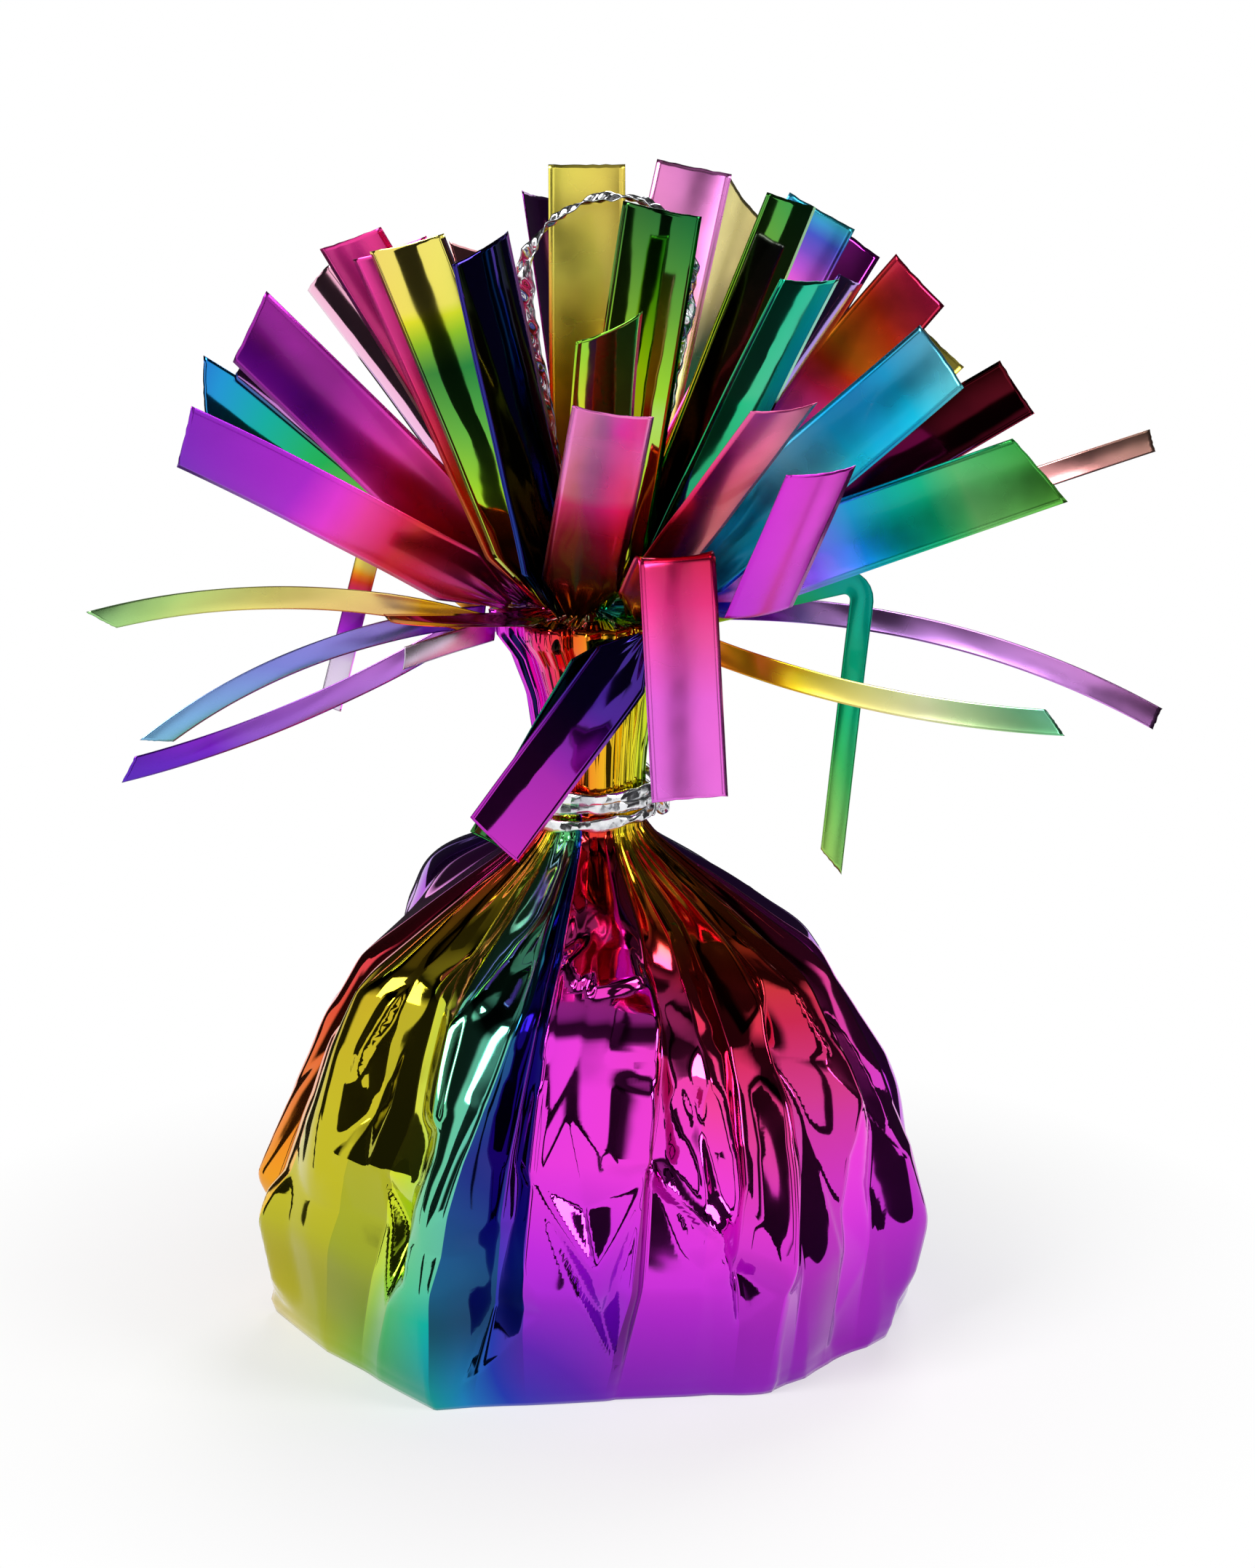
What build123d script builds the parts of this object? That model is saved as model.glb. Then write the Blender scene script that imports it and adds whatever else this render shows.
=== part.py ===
"""A foil balloon weight: a tub of sand wrapped in rainbow film, tied at the neck under a film plume."""

import os
from math import cos, exp, pi, radians, sin, tan

from build123d import *

# Driving sizes, in millimetres. Front is -Y, right is +X, the foot stands on Z = 0.
BODY_RADIUS = 36.6
BODY_HEIGHT = 60.6
NECK_RADIUS = 6.6
COLLAR_RADIUS = 11.4
COLLAR_HEIGHT = 86.0
WRAP_FILM = 0.3
STRIP_FILM = 0.2
STRIP_LENGTH = 48.0
STRIP_WIDTH = 8.8
STREAMER_WIDTH = 2.8
TIE_RIBBON = 0.9
TIE_PITCH = 1.35
TIE_TURNS = 3
LOOP_WIDTH = 19.3
LOOP_RISE = 47.8
LOOP_RIBBON = 3.2
LOOP_FILM = 0.5
TUB_WALL = 1.2
SEAT = 0.3
FIT = 0.1

# Sizes that follow from them.
SHELL = 1.3 * WRAP_FILM
TIE_BAND = TIE_TURNS * TIE_PITCH + 2 * TIE_RIBBON
TIE_RADIUS = NECK_RADIUS + SEAT + TIE_RIBBON / 2
TUB_RADIUS = 0.68 * BODY_RADIUS
TUB_HEIGHT = 0.54 * BODY_HEIGHT
TUB_DRAFT_SHARE = 0.96
LID_PLUG = 2.5 * TUB_WALL
ROOT_WIDTH = 0.18 * STRIP_WIDTH
FOLD_RADIUS = 4 * STRIP_FILM
BEND_RADIUS = 0.75 * STREAMER_WIDTH

# Corners of the flat foot, from the left round by the front: azimuth and share of the body radius.
FOOT_CORNER_SHARES = (
    (-88, 1.02),
    (-66, 0.92),
    (-30, 0.955),
    (39, 0.885),
    (58, 0.915),
    (75, 0.97),
    (102, 1.01),
    (150, 0.96),
    (211, 0.96),
)

# The wrap, level by level: height and radius, how cornered it is, how deep its pleats are.
PLEAT_DEPTH = 0.0275 * BODY_RADIUS
BODY_LEVEL_SHARES = (0.0, 0.035, 0.24, 0.46, 0.61, 0.74, 0.86, 0.95)
BODY_RADIUS_SHARES = (1.0, 1.02, 1.03, 0.915, 0.81, 0.69, 0.43, 0.23)
CORNER_SHARES = (1.0, 0.95, 0.6, 0.4, 0.25, 0.15, 0.05, 0.0)
BODY_PLEAT_SHARES = (0.1, 0.18, 0.75, 1.0, 1.0, 1.0, 0.7, 0.35)
NECK_LEVEL_SHARES = (0.2, 0.5, 0.75, 0.87, 1.0)
NECK_FLARE_SHARES = (0.05, 0.16, 0.5, 1.0, 1.0)
NECK_PLEAT = 0.06 * NECK_RADIUS

# The wrap's fold lines, from the left round by the front, the right and the back: the azimuths of
# each one at even heights from the foot to the waist, and how many pleat depths it stands out.
FOLD_LINE_SHARES = (
    ((-95, -92, -90, -88, -86), 1.3),
    ((-91, -85, -80, -77, -74), -1.5),
    ((-87, -78, -69, -67, -63), 1.9),
    ((-66, -60, -55, -56, -56), -0.9),
    ((-54, -46, -43, -47, -50), -1.6),
    ((-48, -37, -31, -34, -38), 1.4),
    ((-30.5, -28.5, -24, -17, -16), 1.8),
    ((-24, -20, -17.5, -13.5, -12.5), -1.8),
    ((-14, -13, -11.5, -10, -9), 1.4),
    ((3, 8, 11.5, 16.5, 22), 1.5),
    ((6, 11, 14, 19.5, 27), -1.6),
    ((22, 22, 24, 28, 34), 1.2),
    ((31, 31, 34, 39, 44), -1.3),
    ((37, 38, 41, 47, 51), 1.8),
    ((44, 46, 48, 56, 58), -1.7),
    ((56, 58, 62, 68, 69), 1.8),
    ((66, 67, 70, 75, 78), -1.5),
    ((76, 78, 80, 84, 86), 1.6),
    ((83, 84, 86, 90, 90), -0.9),
    ((91, 92, 93, 95, 95), 1.4),
    ((101, 101, 101, 100, 99), -1.4),
    ((112, 111, 112, 114, 115), 1.3),
    ((122, 122, 124, 124, 124), -1.6),
    ((134, 135, 136, 137, 138), 1.4),
    ((142, 143, 145, 146, 146), -1.3),
    ((150, 151, 152, 153, 154), 1.7),
    ((161, 161, 162, 163, 164), -1.5),
    ((172, 171, 171, 173, 174), 1.3),
    ((183, 183, 182, 183, 184), -1.4),
    ((195, 194, 193, 193, 195), 1.2),
    ((203, 204, 203, 202, 204), -1.2),
    ((211, 212, 212, 211, 212), 1.7),
    ((222, 223, 222, 221, 222), -1.6),
    ((235, 234, 234, 233, 232), 1.6),
    ((246, 247, 247, 246, 247), -1.6),
)

# Soft lobes of the wrap, two at the back of the shoulder and a broad swell on the right: azimuth,
# width, height share, spread, share of the body radius.
LOBE_SHARES = (
    (-132, 28, 0.87, 0.11, 0.23),
    (126, 22, 0.85, 0.09, 0.03),
    (90, 40, 0.5, 0.2, 0.04),
)

# The loop's route: sideways as a share of its width, up as a share of its rise.
LOOP_ROUTE_SHARES = (
    (-0.07, 0.0),
    (-0.41, 0.72),
    (-0.32, 0.905),
    (0.13, 1.0),
    (0.6, 0.915),
    (0.58, 0.7),
    (0.07, 0.0),
)

# Rings of the collar that strips are rooted on, from the middle out.
RING_SHARES = (0.3, 0.46, 0.65, 0.85)
FLARE_SHARE = 0.22

# Strips: the way each one points (azimuth from the front, elevation, roll of its face), its length
# as a share of the full strip, its ring, how far round its root is from the way it points, and
# for a creased strip the share of its length before the crease and the crease's turn.
STRIP_SHARES = {
    "left_strip_1": (-74, 32, 57, 0.9, 3, 3, 0, 0),
    "left_strip_2": (-105, 28, 71, 0.9, 3, -22, 0, 0),
    "left_strip_3": (-101, 38, 37, 0.83, 3, -4, 0, 0),
    "left_strip_4": (-84, 47, 77, 0.93, 2, -1, 0, 0),
    "left_strip_5": (-111, 50, 51, 0.92, 2, -27, 0, 0),
    "left_strip_6": (-90, 65, 62, 0.99, 1, 0, 0.5, -8),
    "left_strip_7": (-57, 67, 45, 0.99, 1, 2, 0, 0),
    "left_strip_8": (-63, 66, 55, 0.97, 1, -9, 0, 0),
    "left_strip_9": (-42, 74, 88, 0.95, 2, 17, 0, 0),
    "left_strip_10": (-155, 52, 30, 0.92, 1, 4, 0, 0),
    "top_strip_1": (-178, 75, 4, 1.02, 0, 0, 0, 0),
    "top_strip_2": (147, 67, 28, 1.04, 1, 19, 0, 0),
    "top_strip_3": (-158, 68, 44, 0.95, 2, -23, 0, 0),
    "top_strip_4": (157, 45, 80, 1.13, 2, 0, 0, 0),
    "top_strip_5": (31, 75, -41, 1.02, 0, -11, 0, 0),
    "top_strip_6": (4, 61, 33, 0.9, 1, -1, 0, 0),
    "right_strip_1": (103, 68, -58, 1.01, 1, 1, 0, 0),
    "right_strip_2": (129, 55, 61, 1.03, 1, 0, 0, 0),
    "right_strip_3": (136, 45, 62, 1.05, 2, 0, 0, 0),
    "right_strip_4": (56, 62, -17, 0.95, 2, 3, 0, 0),
    "right_strip_5": (120, 42, 80, 1.01, 2, -5, 0, 0),
    "right_strip_6": (98, 56, -34, 0.91, 1, -6, 0, 0),
    "right_strip_7": (126, 31, 49, 0.96, 3, -8, 0, 0),
    "right_strip_8": (78, 42, 70, 0.92, 2, 9, 0, 0),
    "right_strip_9": (97, 30, 38, 0.95, 3, 9, 0, 0),
    "right_strip_10": (90, 20, 79, 0.91, 3, -1, 0, 0),
    "front_strip_1": (10, 49, -13, 0.81, 2, -24, 0, 0),
    "front_strip_2": (36, 46, -2, 0.84, 2, 2, 0, 0),
    "front_strip_3": (-72, 4, 5, 0.34, 3, 41, 0, 0),
    "front_strip_4": (30, 10, 0, 0.86, 3, 50, 0.45, 46),
    "hanging_strip_1": (17, 41, 0, 0.92, 3, 20, 0.38, -120),
    "back_strip_1": (-162, 26, 75, 1, 3, 0, 0, 0),
    "back_strip_2": (-174, 40, 64, 1, 2, 0, 0, 0),
    "back_strip_3": (163, 24, 80, 1, 3, 0, 0, 0),
    "back_strip_4": (150, 30, 88, 0.95, 2, -1, 0, 0),
    "back_strip_5": (-134, 14, 60, 0.96, 3, 0, 0, 0),
    "back_strip_6": (136, 14, 60, 0.96, 3, 0, 0, 0),
}

# Strips that hang from the outside of the collar: azimuth, elevation, roll, length share, root azimuth.
HANGING_SHARES = {
    "hanging_strip_2": (-54, -44, -87, 0.6, 31),
    "hanging_strip_3": (-65, -56, -104, 0.55, 13),
}

# Streamers, narrow and rooted outside the collar: azimuth, elevation, roll, length share,
# root azimuth, sag over the length, and for a folded one the share before the fold and its turn.
STREAMER_SHARES = {
    "left_streamer_1": (-77, 20, 80, 0.92, -72, -33, 0, 0),
    "left_streamer_2": (-70, 2, 80, 0.85, -93, -38, 0, 0),
    "left_streamer_3": (-85, -33, 80, 0.92, -95, 21, 0, 0),
    "left_streamer_4": (-103, 37, 80, 0.84, -102, 0, 0.39, -110),
    "left_streamer_5": (-45, -3, 80, 0.29, -66, 0, 0, 0),
    "right_streamer_1": (116, -5, 80, 1.37, 111, -27, 0, 0),
    "right_streamer_2": (63, -15, 80, 0.96, 52, 19, 0, 0),
    "right_streamer_3": (104, 9, 80, 1.11, 96, 0, 0.38, -108),
    "right_streamer_4": (117, 12, 80, 1.35, 123, -2, 0, 0),
}


def around(radius, azimuth, height):
    """A point at an azimuth counted from the front towards the right."""
    turn = radians(azimuth)
    return Vector(radius * sin(turn), -radius * cos(turn), height)


def film_axes(azimuth, elevation, roll):
    """The way a strip runs, the way its width lies and the way its face looks."""
    rise = radians(elevation)
    along = around(cos(rise), azimuth, sin(rise))
    level = Vector(0, 0, 1).cross(along).normalized()
    lift = along.cross(level)
    across = level * cos(radians(roll)) + lift * sin(radians(roll))
    return along, across, along.cross(across)


def strip_root(ring, azimuth, across, facing):
    """Where a strip's root stands on the top of the collar."""
    stand = SEAT + ROOT_WIDTH / 2 * abs(across.Z) + STRIP_FILM / 2 * abs(facing.Z)
    return around(RING_SHARES[ring] * COLLAR_RADIUS, azimuth, COLLAR_HEIGHT + stand)


def rim_root(width, azimuth, across):
    """Where a strip's root lies against the outside of the collar."""
    outward = around(1, azimuth, 0)
    stand = SEAT + STRIP_FILM / 2 + width / 2 * abs(across.dot(outward))
    return around(COLLAR_RADIUS + stand, azimuth, COLLAR_HEIGHT - width / 2)


def tapered(length, end):
    """The outline of a strip: narrow where it is gathered, full width past the flare."""
    flare = FLARE_SHARE * length
    return (
        (0, -ROOT_WIDTH / 2),
        (flare, -STRIP_WIDTH / 2),
        (end, -STRIP_WIDTH / 2),
        (end, STRIP_WIDTH / 2),
        (flare, STRIP_WIDTH / 2),
        (0, ROOT_WIDTH / 2),
    )


def cornered(azimuth, share):
    """How far the straight edges between the foot's corners draw the wrap in or out at an azimuth."""
    first, near = FOOT_CORNER_SHARES[0]
    turn = (azimuth - first) % 360 + first
    before = first
    for after, far in FOOT_CORNER_SHARES[1:] + ((first + 360, near),):
        if turn <= after:
            break
        before, near = after, far
    across = near * sin(radians(turn - before)) + far * sin(radians(after - turn))
    return 1 + share * (near * far * sin(radians(after - before)) / across - 1)


def lobes(azimuth, level):
    """How far the soft lobes swell the wrap at an azimuth and a height share."""
    swell = 0
    for middle, width, height, spread, share in LOBE_SHARES:
        turn = (azimuth - middle + 180) % 360 - 180
        swell += share * BODY_RADIUS * exp(-((turn / width) ** 2) - ((level - height) / spread) ** 2)
    return swell


def body_levels(shell):
    """Height and ring of points of the wrapped body, one on each fold line, drawn in by the shell."""
    levels = []
    for level, radius, share, pleat in zip(
        BODY_LEVEL_SHARES, BODY_RADIUS_SHARES, CORNER_SHARES, BODY_PLEAT_SHARES
    ):
        ring = []
        for turns, lift in FOLD_LINE_SHARES:
            step = level * (len(turns) - 1)
            low = int(step)
            azimuth = turns[low] + (step - low) * (turns[low + 1] - turns[low])
            reach = radius * BODY_RADIUS * cornered(azimuth, share) + lift * pleat * PLEAT_DEPTH
            spot = around(reach + lobes(azimuth, level) - shell, azimuth, 0)
            ring.append((spot.X, spot.Y))
        levels.append((level * BODY_HEIGHT, ring))
    return levels


def neck_ring(radius):
    """A gathered ring of points: the ridges of the fold lines at the radius, the valleys inside it."""
    ring = []
    for turns, lift in FOLD_LINE_SHARES:
        spot = around(radius - (NECK_PLEAT if lift < 0 else 0), turns[-1], 0)
        ring.append((spot.X, spot.Y))
    return ring


def neck_levels():
    """Height and ring of points of the gathered neck, from the tie to the collar."""
    top = BODY_HEIGHT + TIE_BAND
    levels = [(BODY_HEIGHT, neck_ring(NECK_RADIUS)), (top, neck_ring(NECK_RADIUS))]
    for level, flare in zip(NECK_LEVEL_SHARES, NECK_FLARE_SHARES):
        radius = NECK_RADIUS + flare * (COLLAR_RADIUS - NECK_RADIUS)
        levels.append((top + level * (COLLAR_HEIGHT - top), neck_ring(radius)))
    return levels


def keep(part, name):
    """Label a finished piece and write its file."""
    part.label = name
    export_step(part, f"parts/{name}.step")


os.makedirs("parts", exist_ok=True)

# The foil wrap: flat foot, pleated body, waist for the tie, gathered neck and flared collar.
with BuildPart() as foil_wrap:
    for height, ring in body_levels(0) + neck_levels():
        with BuildSketch(Plane.XY.offset(height)):
            with BuildLine():
                Polyline(*ring, close=True)
            make_face()
    loft(ruled=True)
    for count, (height, ring) in enumerate(body_levels(SHELL)):
        with BuildSketch(Plane.XY.offset(height if count else WRAP_FILM)):
            with BuildLine():
                Polyline(*ring, close=True)
            make_face()
    loft(ruled=True, mode=Mode.SUBTRACT)
keep(foil_wrap.part, "foil_wrap")

# The tub, its sand and its lid, inside the wrap.
TUB_FOOT = TUB_DRAFT_SHARE * TUB_RADIUS
TUB_TOP = WRAP_FILM + TUB_HEIGHT
with BuildPart() as weight_cup:
    with BuildSketch(Plane.XZ):
        with BuildLine():
            Polyline(
                (0, WRAP_FILM),
                (TUB_FOOT, WRAP_FILM),
                (TUB_RADIUS, TUB_TOP),
                (TUB_RADIUS - TUB_WALL, TUB_TOP),
                (TUB_FOOT - TUB_WALL, WRAP_FILM + TUB_WALL),
                (0, WRAP_FILM + TUB_WALL),
                close=True,
            )
        make_face()
    revolve(axis=Axis.Z)
keep(weight_cup.part, "weight_cup")

SAND_TOP = TUB_TOP - LID_PLUG - TUB_WALL
SAND_SHARE = (SAND_TOP - WRAP_FILM - TUB_WALL) / (TUB_HEIGHT - TUB_WALL)
SAND_FOOT = TUB_FOOT - TUB_WALL - FIT
with BuildPart() as sand_fill:
    with BuildSketch(Plane.XZ):
        with BuildLine():
            Polyline(
                (0, WRAP_FILM + TUB_WALL),
                (SAND_FOOT, WRAP_FILM + TUB_WALL),
                (SAND_FOOT + SAND_SHARE * (TUB_RADIUS - TUB_FOOT), SAND_TOP),
                (0, SAND_TOP),
                close=True,
            )
        make_face()
    revolve(axis=Axis.Z)
keep(sand_fill.part, "sand_fill")

PLUG_RADIUS = TUB_RADIUS - TUB_WALL - FIT
PLUG_FOOT = PLUG_RADIUS - LID_PLUG / TUB_HEIGHT * (TUB_RADIUS - TUB_FOOT)
with BuildPart() as cup_lid:
    with BuildSketch(Plane.XZ):
        with BuildLine():
            Polyline(
                (0, TUB_TOP),
                (PLUG_FOOT - TUB_WALL, TUB_TOP),
                (PLUG_FOOT - TUB_WALL, TUB_TOP - LID_PLUG),
                (PLUG_FOOT, TUB_TOP - LID_PLUG),
                (PLUG_RADIUS, TUB_TOP),
                (TUB_RADIUS, TUB_TOP),
                (TUB_RADIUS, TUB_TOP + TUB_WALL),
                (0, TUB_TOP + TUB_WALL),
                close=True,
            )
        make_face()
    revolve(axis=Axis.Z)
keep(cup_lid.part, "cup_lid")

# The neck tie: one ribbon wound round the waist, each quarter turn a pair of arcs, its two
# ends straight for one ribbon.
TIE_START = 90
TURN_STEPS = 8
TIE_STEPS = TIE_TURNS * TURN_STEPS - 1
TIE_FOOT = BODY_HEIGHT + (TIE_BAND - TIE_STEPS / TURN_STEPS * TIE_PITCH) / 2
with BuildPart() as neck_tie:
    with BuildLine() as tie_path:
        slope = TIE_PITCH / (2 * pi * TIE_RADIUS)
        first = around(TIE_RADIUS, TIE_START, TIE_FOOT)
        heading = (around(1, TIE_START + 90, slope)).normalized()
        Line(first - heading * TIE_RIBBON, first)
        here = first
        for step in range(1, TIE_STEPS + 1):
            height = TIE_FOOT + step / TURN_STEPS * TIE_PITCH
            there = around(TIE_RADIUS, TIE_START + step * 360 / TURN_STEPS, height)
            arc = TangentArc(here, there, tangent=heading)
            heading = arc % 1
            here = there
        Line(here, here + heading * TIE_RIBBON)
    with BuildSketch(Plane(tie_path.line @ 0, z_dir=tie_path.line % 0)):
        Circle(TIE_RIBBON / 2)
    sweep(path=tie_path.line)
keep(neck_tie.part, "neck_tie")

tie_wire = tie_path.wires()[0]
TURN_SAMPLES = 60
TIE_SAMPLES = TURN_SAMPLES * TIE_TURNS
spots = [tie_wire.position_at(n / TIE_SAMPLES) for n in range(TIE_SAMPLES + 1)]
least = min(
    (spots[n] - spots[m]).length
    for n in range(len(spots))
    for m in range(n + TURN_SAMPLES // 2, len(spots))
)
print(f"neck tie: least gap to itself {least - TIE_RIBBON:.2f} mm")

# The knot of the tie, pressed on the turns at the right.
KNOT_WIDTH = 2.6 * TIE_RIBBON
KNOT_HEIGHT = 3.2 * TIE_RIBBON
KNOT_DEPTH = 1.8 * TIE_RIBBON
KNOT_AZIMUTH = 72
knot_reach = TIE_RADIUS + TIE_RIBBON / 2 + SEAT + KNOT_DEPTH / 2
knot_middle = around(knot_reach, KNOT_AZIMUTH, BODY_HEIGHT + TIE_BAND / 2)
knot_outward = around(1, KNOT_AZIMUTH, 0)
with BuildPart() as tie_knot:
    with BuildSketch(Plane(knot_middle, x_dir=around(1, KNOT_AZIMUTH + 90, 0), z_dir=knot_outward)):
        RectangleRounded(KNOT_WIDTH, KNOT_HEIGHT, KNOT_DEPTH / 3)
    extrude(amount=KNOT_DEPTH / 2, both=True)
    outer_face = tie_knot.faces().sort_by(Axis(knot_middle, knot_outward))[-1]
    fillet(outer_face.edges(), KNOT_DEPTH / 8)
keep(tie_knot.part, "tie_knot")

# The ribbon loop: a flat ribbon on edge, straight runs joined by arcs.
LOOP_FOOT = COLLAR_HEIGHT + SEAT
route = [(side * LOOP_WIDTH, LOOP_FOOT + rise * LOOP_RISE) for side, rise in LOOP_ROUTE_SHARES]
bends = []
for before, corner, after in zip(route, route[1:], route[2:]):
    coming = Vector(*corner) - Vector(*before)
    going = Vector(*after) - Vector(*corner)
    turn = radians(coming.get_angle(going))
    bends.append(0.45 * min(coming.length, going.length) / tan(turn / 2))
print("loop bend radii", [round(bend, 1) for bend in bends])
with BuildPart() as ribbon_loop:
    with BuildSketch(Plane.XZ):
        with BuildLine():
            FilletPolyline(*route, radius=bends)
        trace(line_width=LOOP_FILM)
    extrude(amount=LOOP_RIBBON / 2, both=True)
keep(ribbon_loop.part, "ribbon_loop")

# The strips that stand on the collar, flat or creased once.
for name, (azimuth, elevation, roll, share, ring, offset, crease, turn) in STRIP_SHARES.items():
    along, across, facing = film_axes(azimuth, elevation, roll)
    root = strip_root(ring, azimuth + offset, across, facing)
    length = share * STRIP_LENGTH
    setback = FOLD_RADIUS * tan(radians(abs(turn)) / 2)
    with BuildPart() as strip:
        with BuildSketch(Plane(root, x_dir=along, z_dir=facing)):
            with BuildLine():
                Polyline(*tapered(length, crease * length - setback if crease else length), close=True)
            make_face()
        extrude(amount=STRIP_FILM / 2, both=True)
        if crease:
            with BuildSketch(Plane(root, x_dir=along, z_dir=-across)):
                with BuildLine():
                    bend = JernArc((crease * length - setback, 0), (1, 0), FOLD_RADIUS, turn)
                    Line(bend @ 1, bend @ 1 + (bend % 1) * (length - crease * length - setback))
                trace(line_width=STRIP_FILM)
            extrude(amount=STRIP_WIDTH / 2, both=True)
    keep(strip.part, name)

# The strips that hang from the outside of the collar.
for name, (azimuth, elevation, roll, share, side) in HANGING_SHARES.items():
    along, across, facing = film_axes(azimuth, elevation, roll)
    root = rim_root(ROOT_WIDTH, side, across)
    length = share * STRIP_LENGTH
    with BuildPart() as strip:
        with BuildSketch(Plane(root, x_dir=along, z_dir=facing)):
            with BuildLine():
                Polyline(*tapered(length, length), close=True)
            make_face()
        extrude(amount=STRIP_FILM / 2, both=True)
    keep(strip.part, name)

# The streamers, straight, sagging or folded over.
for name, (azimuth, elevation, roll, share, side, sag, fold, turn) in STREAMER_SHARES.items():
    along, across, facing = film_axes(azimuth, elevation, roll)
    root = rim_root(STREAMER_WIDTH, side, across)
    length = share * STRIP_LENGTH
    with BuildPart() as streamer:
        with BuildSketch(Plane(root, x_dir=along, z_dir=facing)):
            with BuildLine():
                if fold:
                    far = length - fold * length
                    end = (fold * length + far * cos(radians(turn)), far * sin(radians(turn)))
                    FilletPolyline((0, 0), (fold * length, 0), end, radius=BEND_RADIUS)
                elif sag:
                    JernArc((0, 0), (1, 0), length / radians(abs(sag)), sag)
                else:
                    Line((0, 0), (length, 0))
            trace(line_width=STREAMER_WIDTH)
        extrude(amount=STRIP_FILM / 2, both=True)
    keep(streamer.part, name)
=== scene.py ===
"""Looks of a foil balloon weight: pleated rainbow wrap, tied neck, film plume, streamers and loop."""

import logging
from dataclasses import dataclass, field
from enum import Enum

import bpy
import numpy as np
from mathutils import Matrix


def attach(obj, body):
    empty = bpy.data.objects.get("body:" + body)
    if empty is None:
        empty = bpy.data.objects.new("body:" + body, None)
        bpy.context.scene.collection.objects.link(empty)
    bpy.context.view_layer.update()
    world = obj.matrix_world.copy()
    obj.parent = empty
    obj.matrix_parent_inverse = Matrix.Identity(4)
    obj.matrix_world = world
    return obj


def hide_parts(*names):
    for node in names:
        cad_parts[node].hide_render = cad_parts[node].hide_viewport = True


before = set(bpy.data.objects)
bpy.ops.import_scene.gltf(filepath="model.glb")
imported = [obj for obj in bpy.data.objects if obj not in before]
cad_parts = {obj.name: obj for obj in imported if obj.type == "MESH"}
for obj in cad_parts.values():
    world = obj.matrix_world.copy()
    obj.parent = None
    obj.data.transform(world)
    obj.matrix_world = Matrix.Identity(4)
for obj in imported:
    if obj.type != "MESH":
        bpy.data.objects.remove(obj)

Array = np.ndarray
Socket = bpy.types.NodeSocket
Material = bpy.types.Material
Piece = bpy.types.Object
log = logging.getLogger("balloon_weight")
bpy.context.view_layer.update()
MM = 0.001
PLAIN = 0.5  # tone of film that is neither paler nor darker than its print
ROOT_SHADE = 0.3  # painted shade: tone at the root of a strip, as a share of its tone
PHASE = 6.0  # most, in radians, that the start of a random wave is shifted
WHITE = (1.0, 1.0, 1.0, 1.0)


class Dye(Enum):
    """Places on the rainbow print of the film, as shares of one repeat."""

    GOLD = 0.0
    LIME = 0.12
    GREEN = 0.2
    TEAL = 0.3
    CYAN = 0.36
    BLUE = 0.44
    INDIGO = 0.5
    VIOLET = 0.56
    PURPLE = 0.63
    MAGENTA = 0.7
    PINK = 0.77
    CRIMSON = 0.83
    RED = 0.89


class Sheen(Enum):
    """How a piece of film shines: like a mirror, or softly."""

    MIRROR = "mirror"
    SATIN = "satin"


class Seat(Enum):
    """Where a film piece is rooted."""

    COLLAR_TOP = "collar top"
    COLLAR_RIM = "collar rim"


def smooth(values: Array, low: float, high: float) -> Array:
    """Rise from 0 at low to 1 at high with level ends (3t^2 - 2t^3)."""
    share = np.clip((values - low) / (high - low), 0.0, 1.0)
    return share * share * (3.0 - 2.0 * share)


def zigzag(values: Array) -> Array:
    """A triangle wave of period 1 from -1 to 1, with crisp turns."""
    return 4.0 * np.abs(values - np.floor(values + 0.5)) - 1.0


def around(radius: Array, azimuth: Array, height: Array) -> Array:
    """Points at an azimuth in degrees, counted from the front (-Y) towards the right (+X)."""
    turn = np.radians(azimuth)
    parts = np.broadcast_arrays(radius * np.sin(turn), -radius * np.cos(turn), height)
    return np.stack(parts, axis=-1)


def unit(vector: Array) -> Array:
    """The vector, or each vector of an array, at length 1."""
    return vector / np.linalg.norm(vector, axis=-1, keepdims=True)


def wrapped(values: Array, period: float) -> Array:
    """Values brought to within half a period of 0."""
    return (values + period / 2) % period - period / 2


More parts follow.
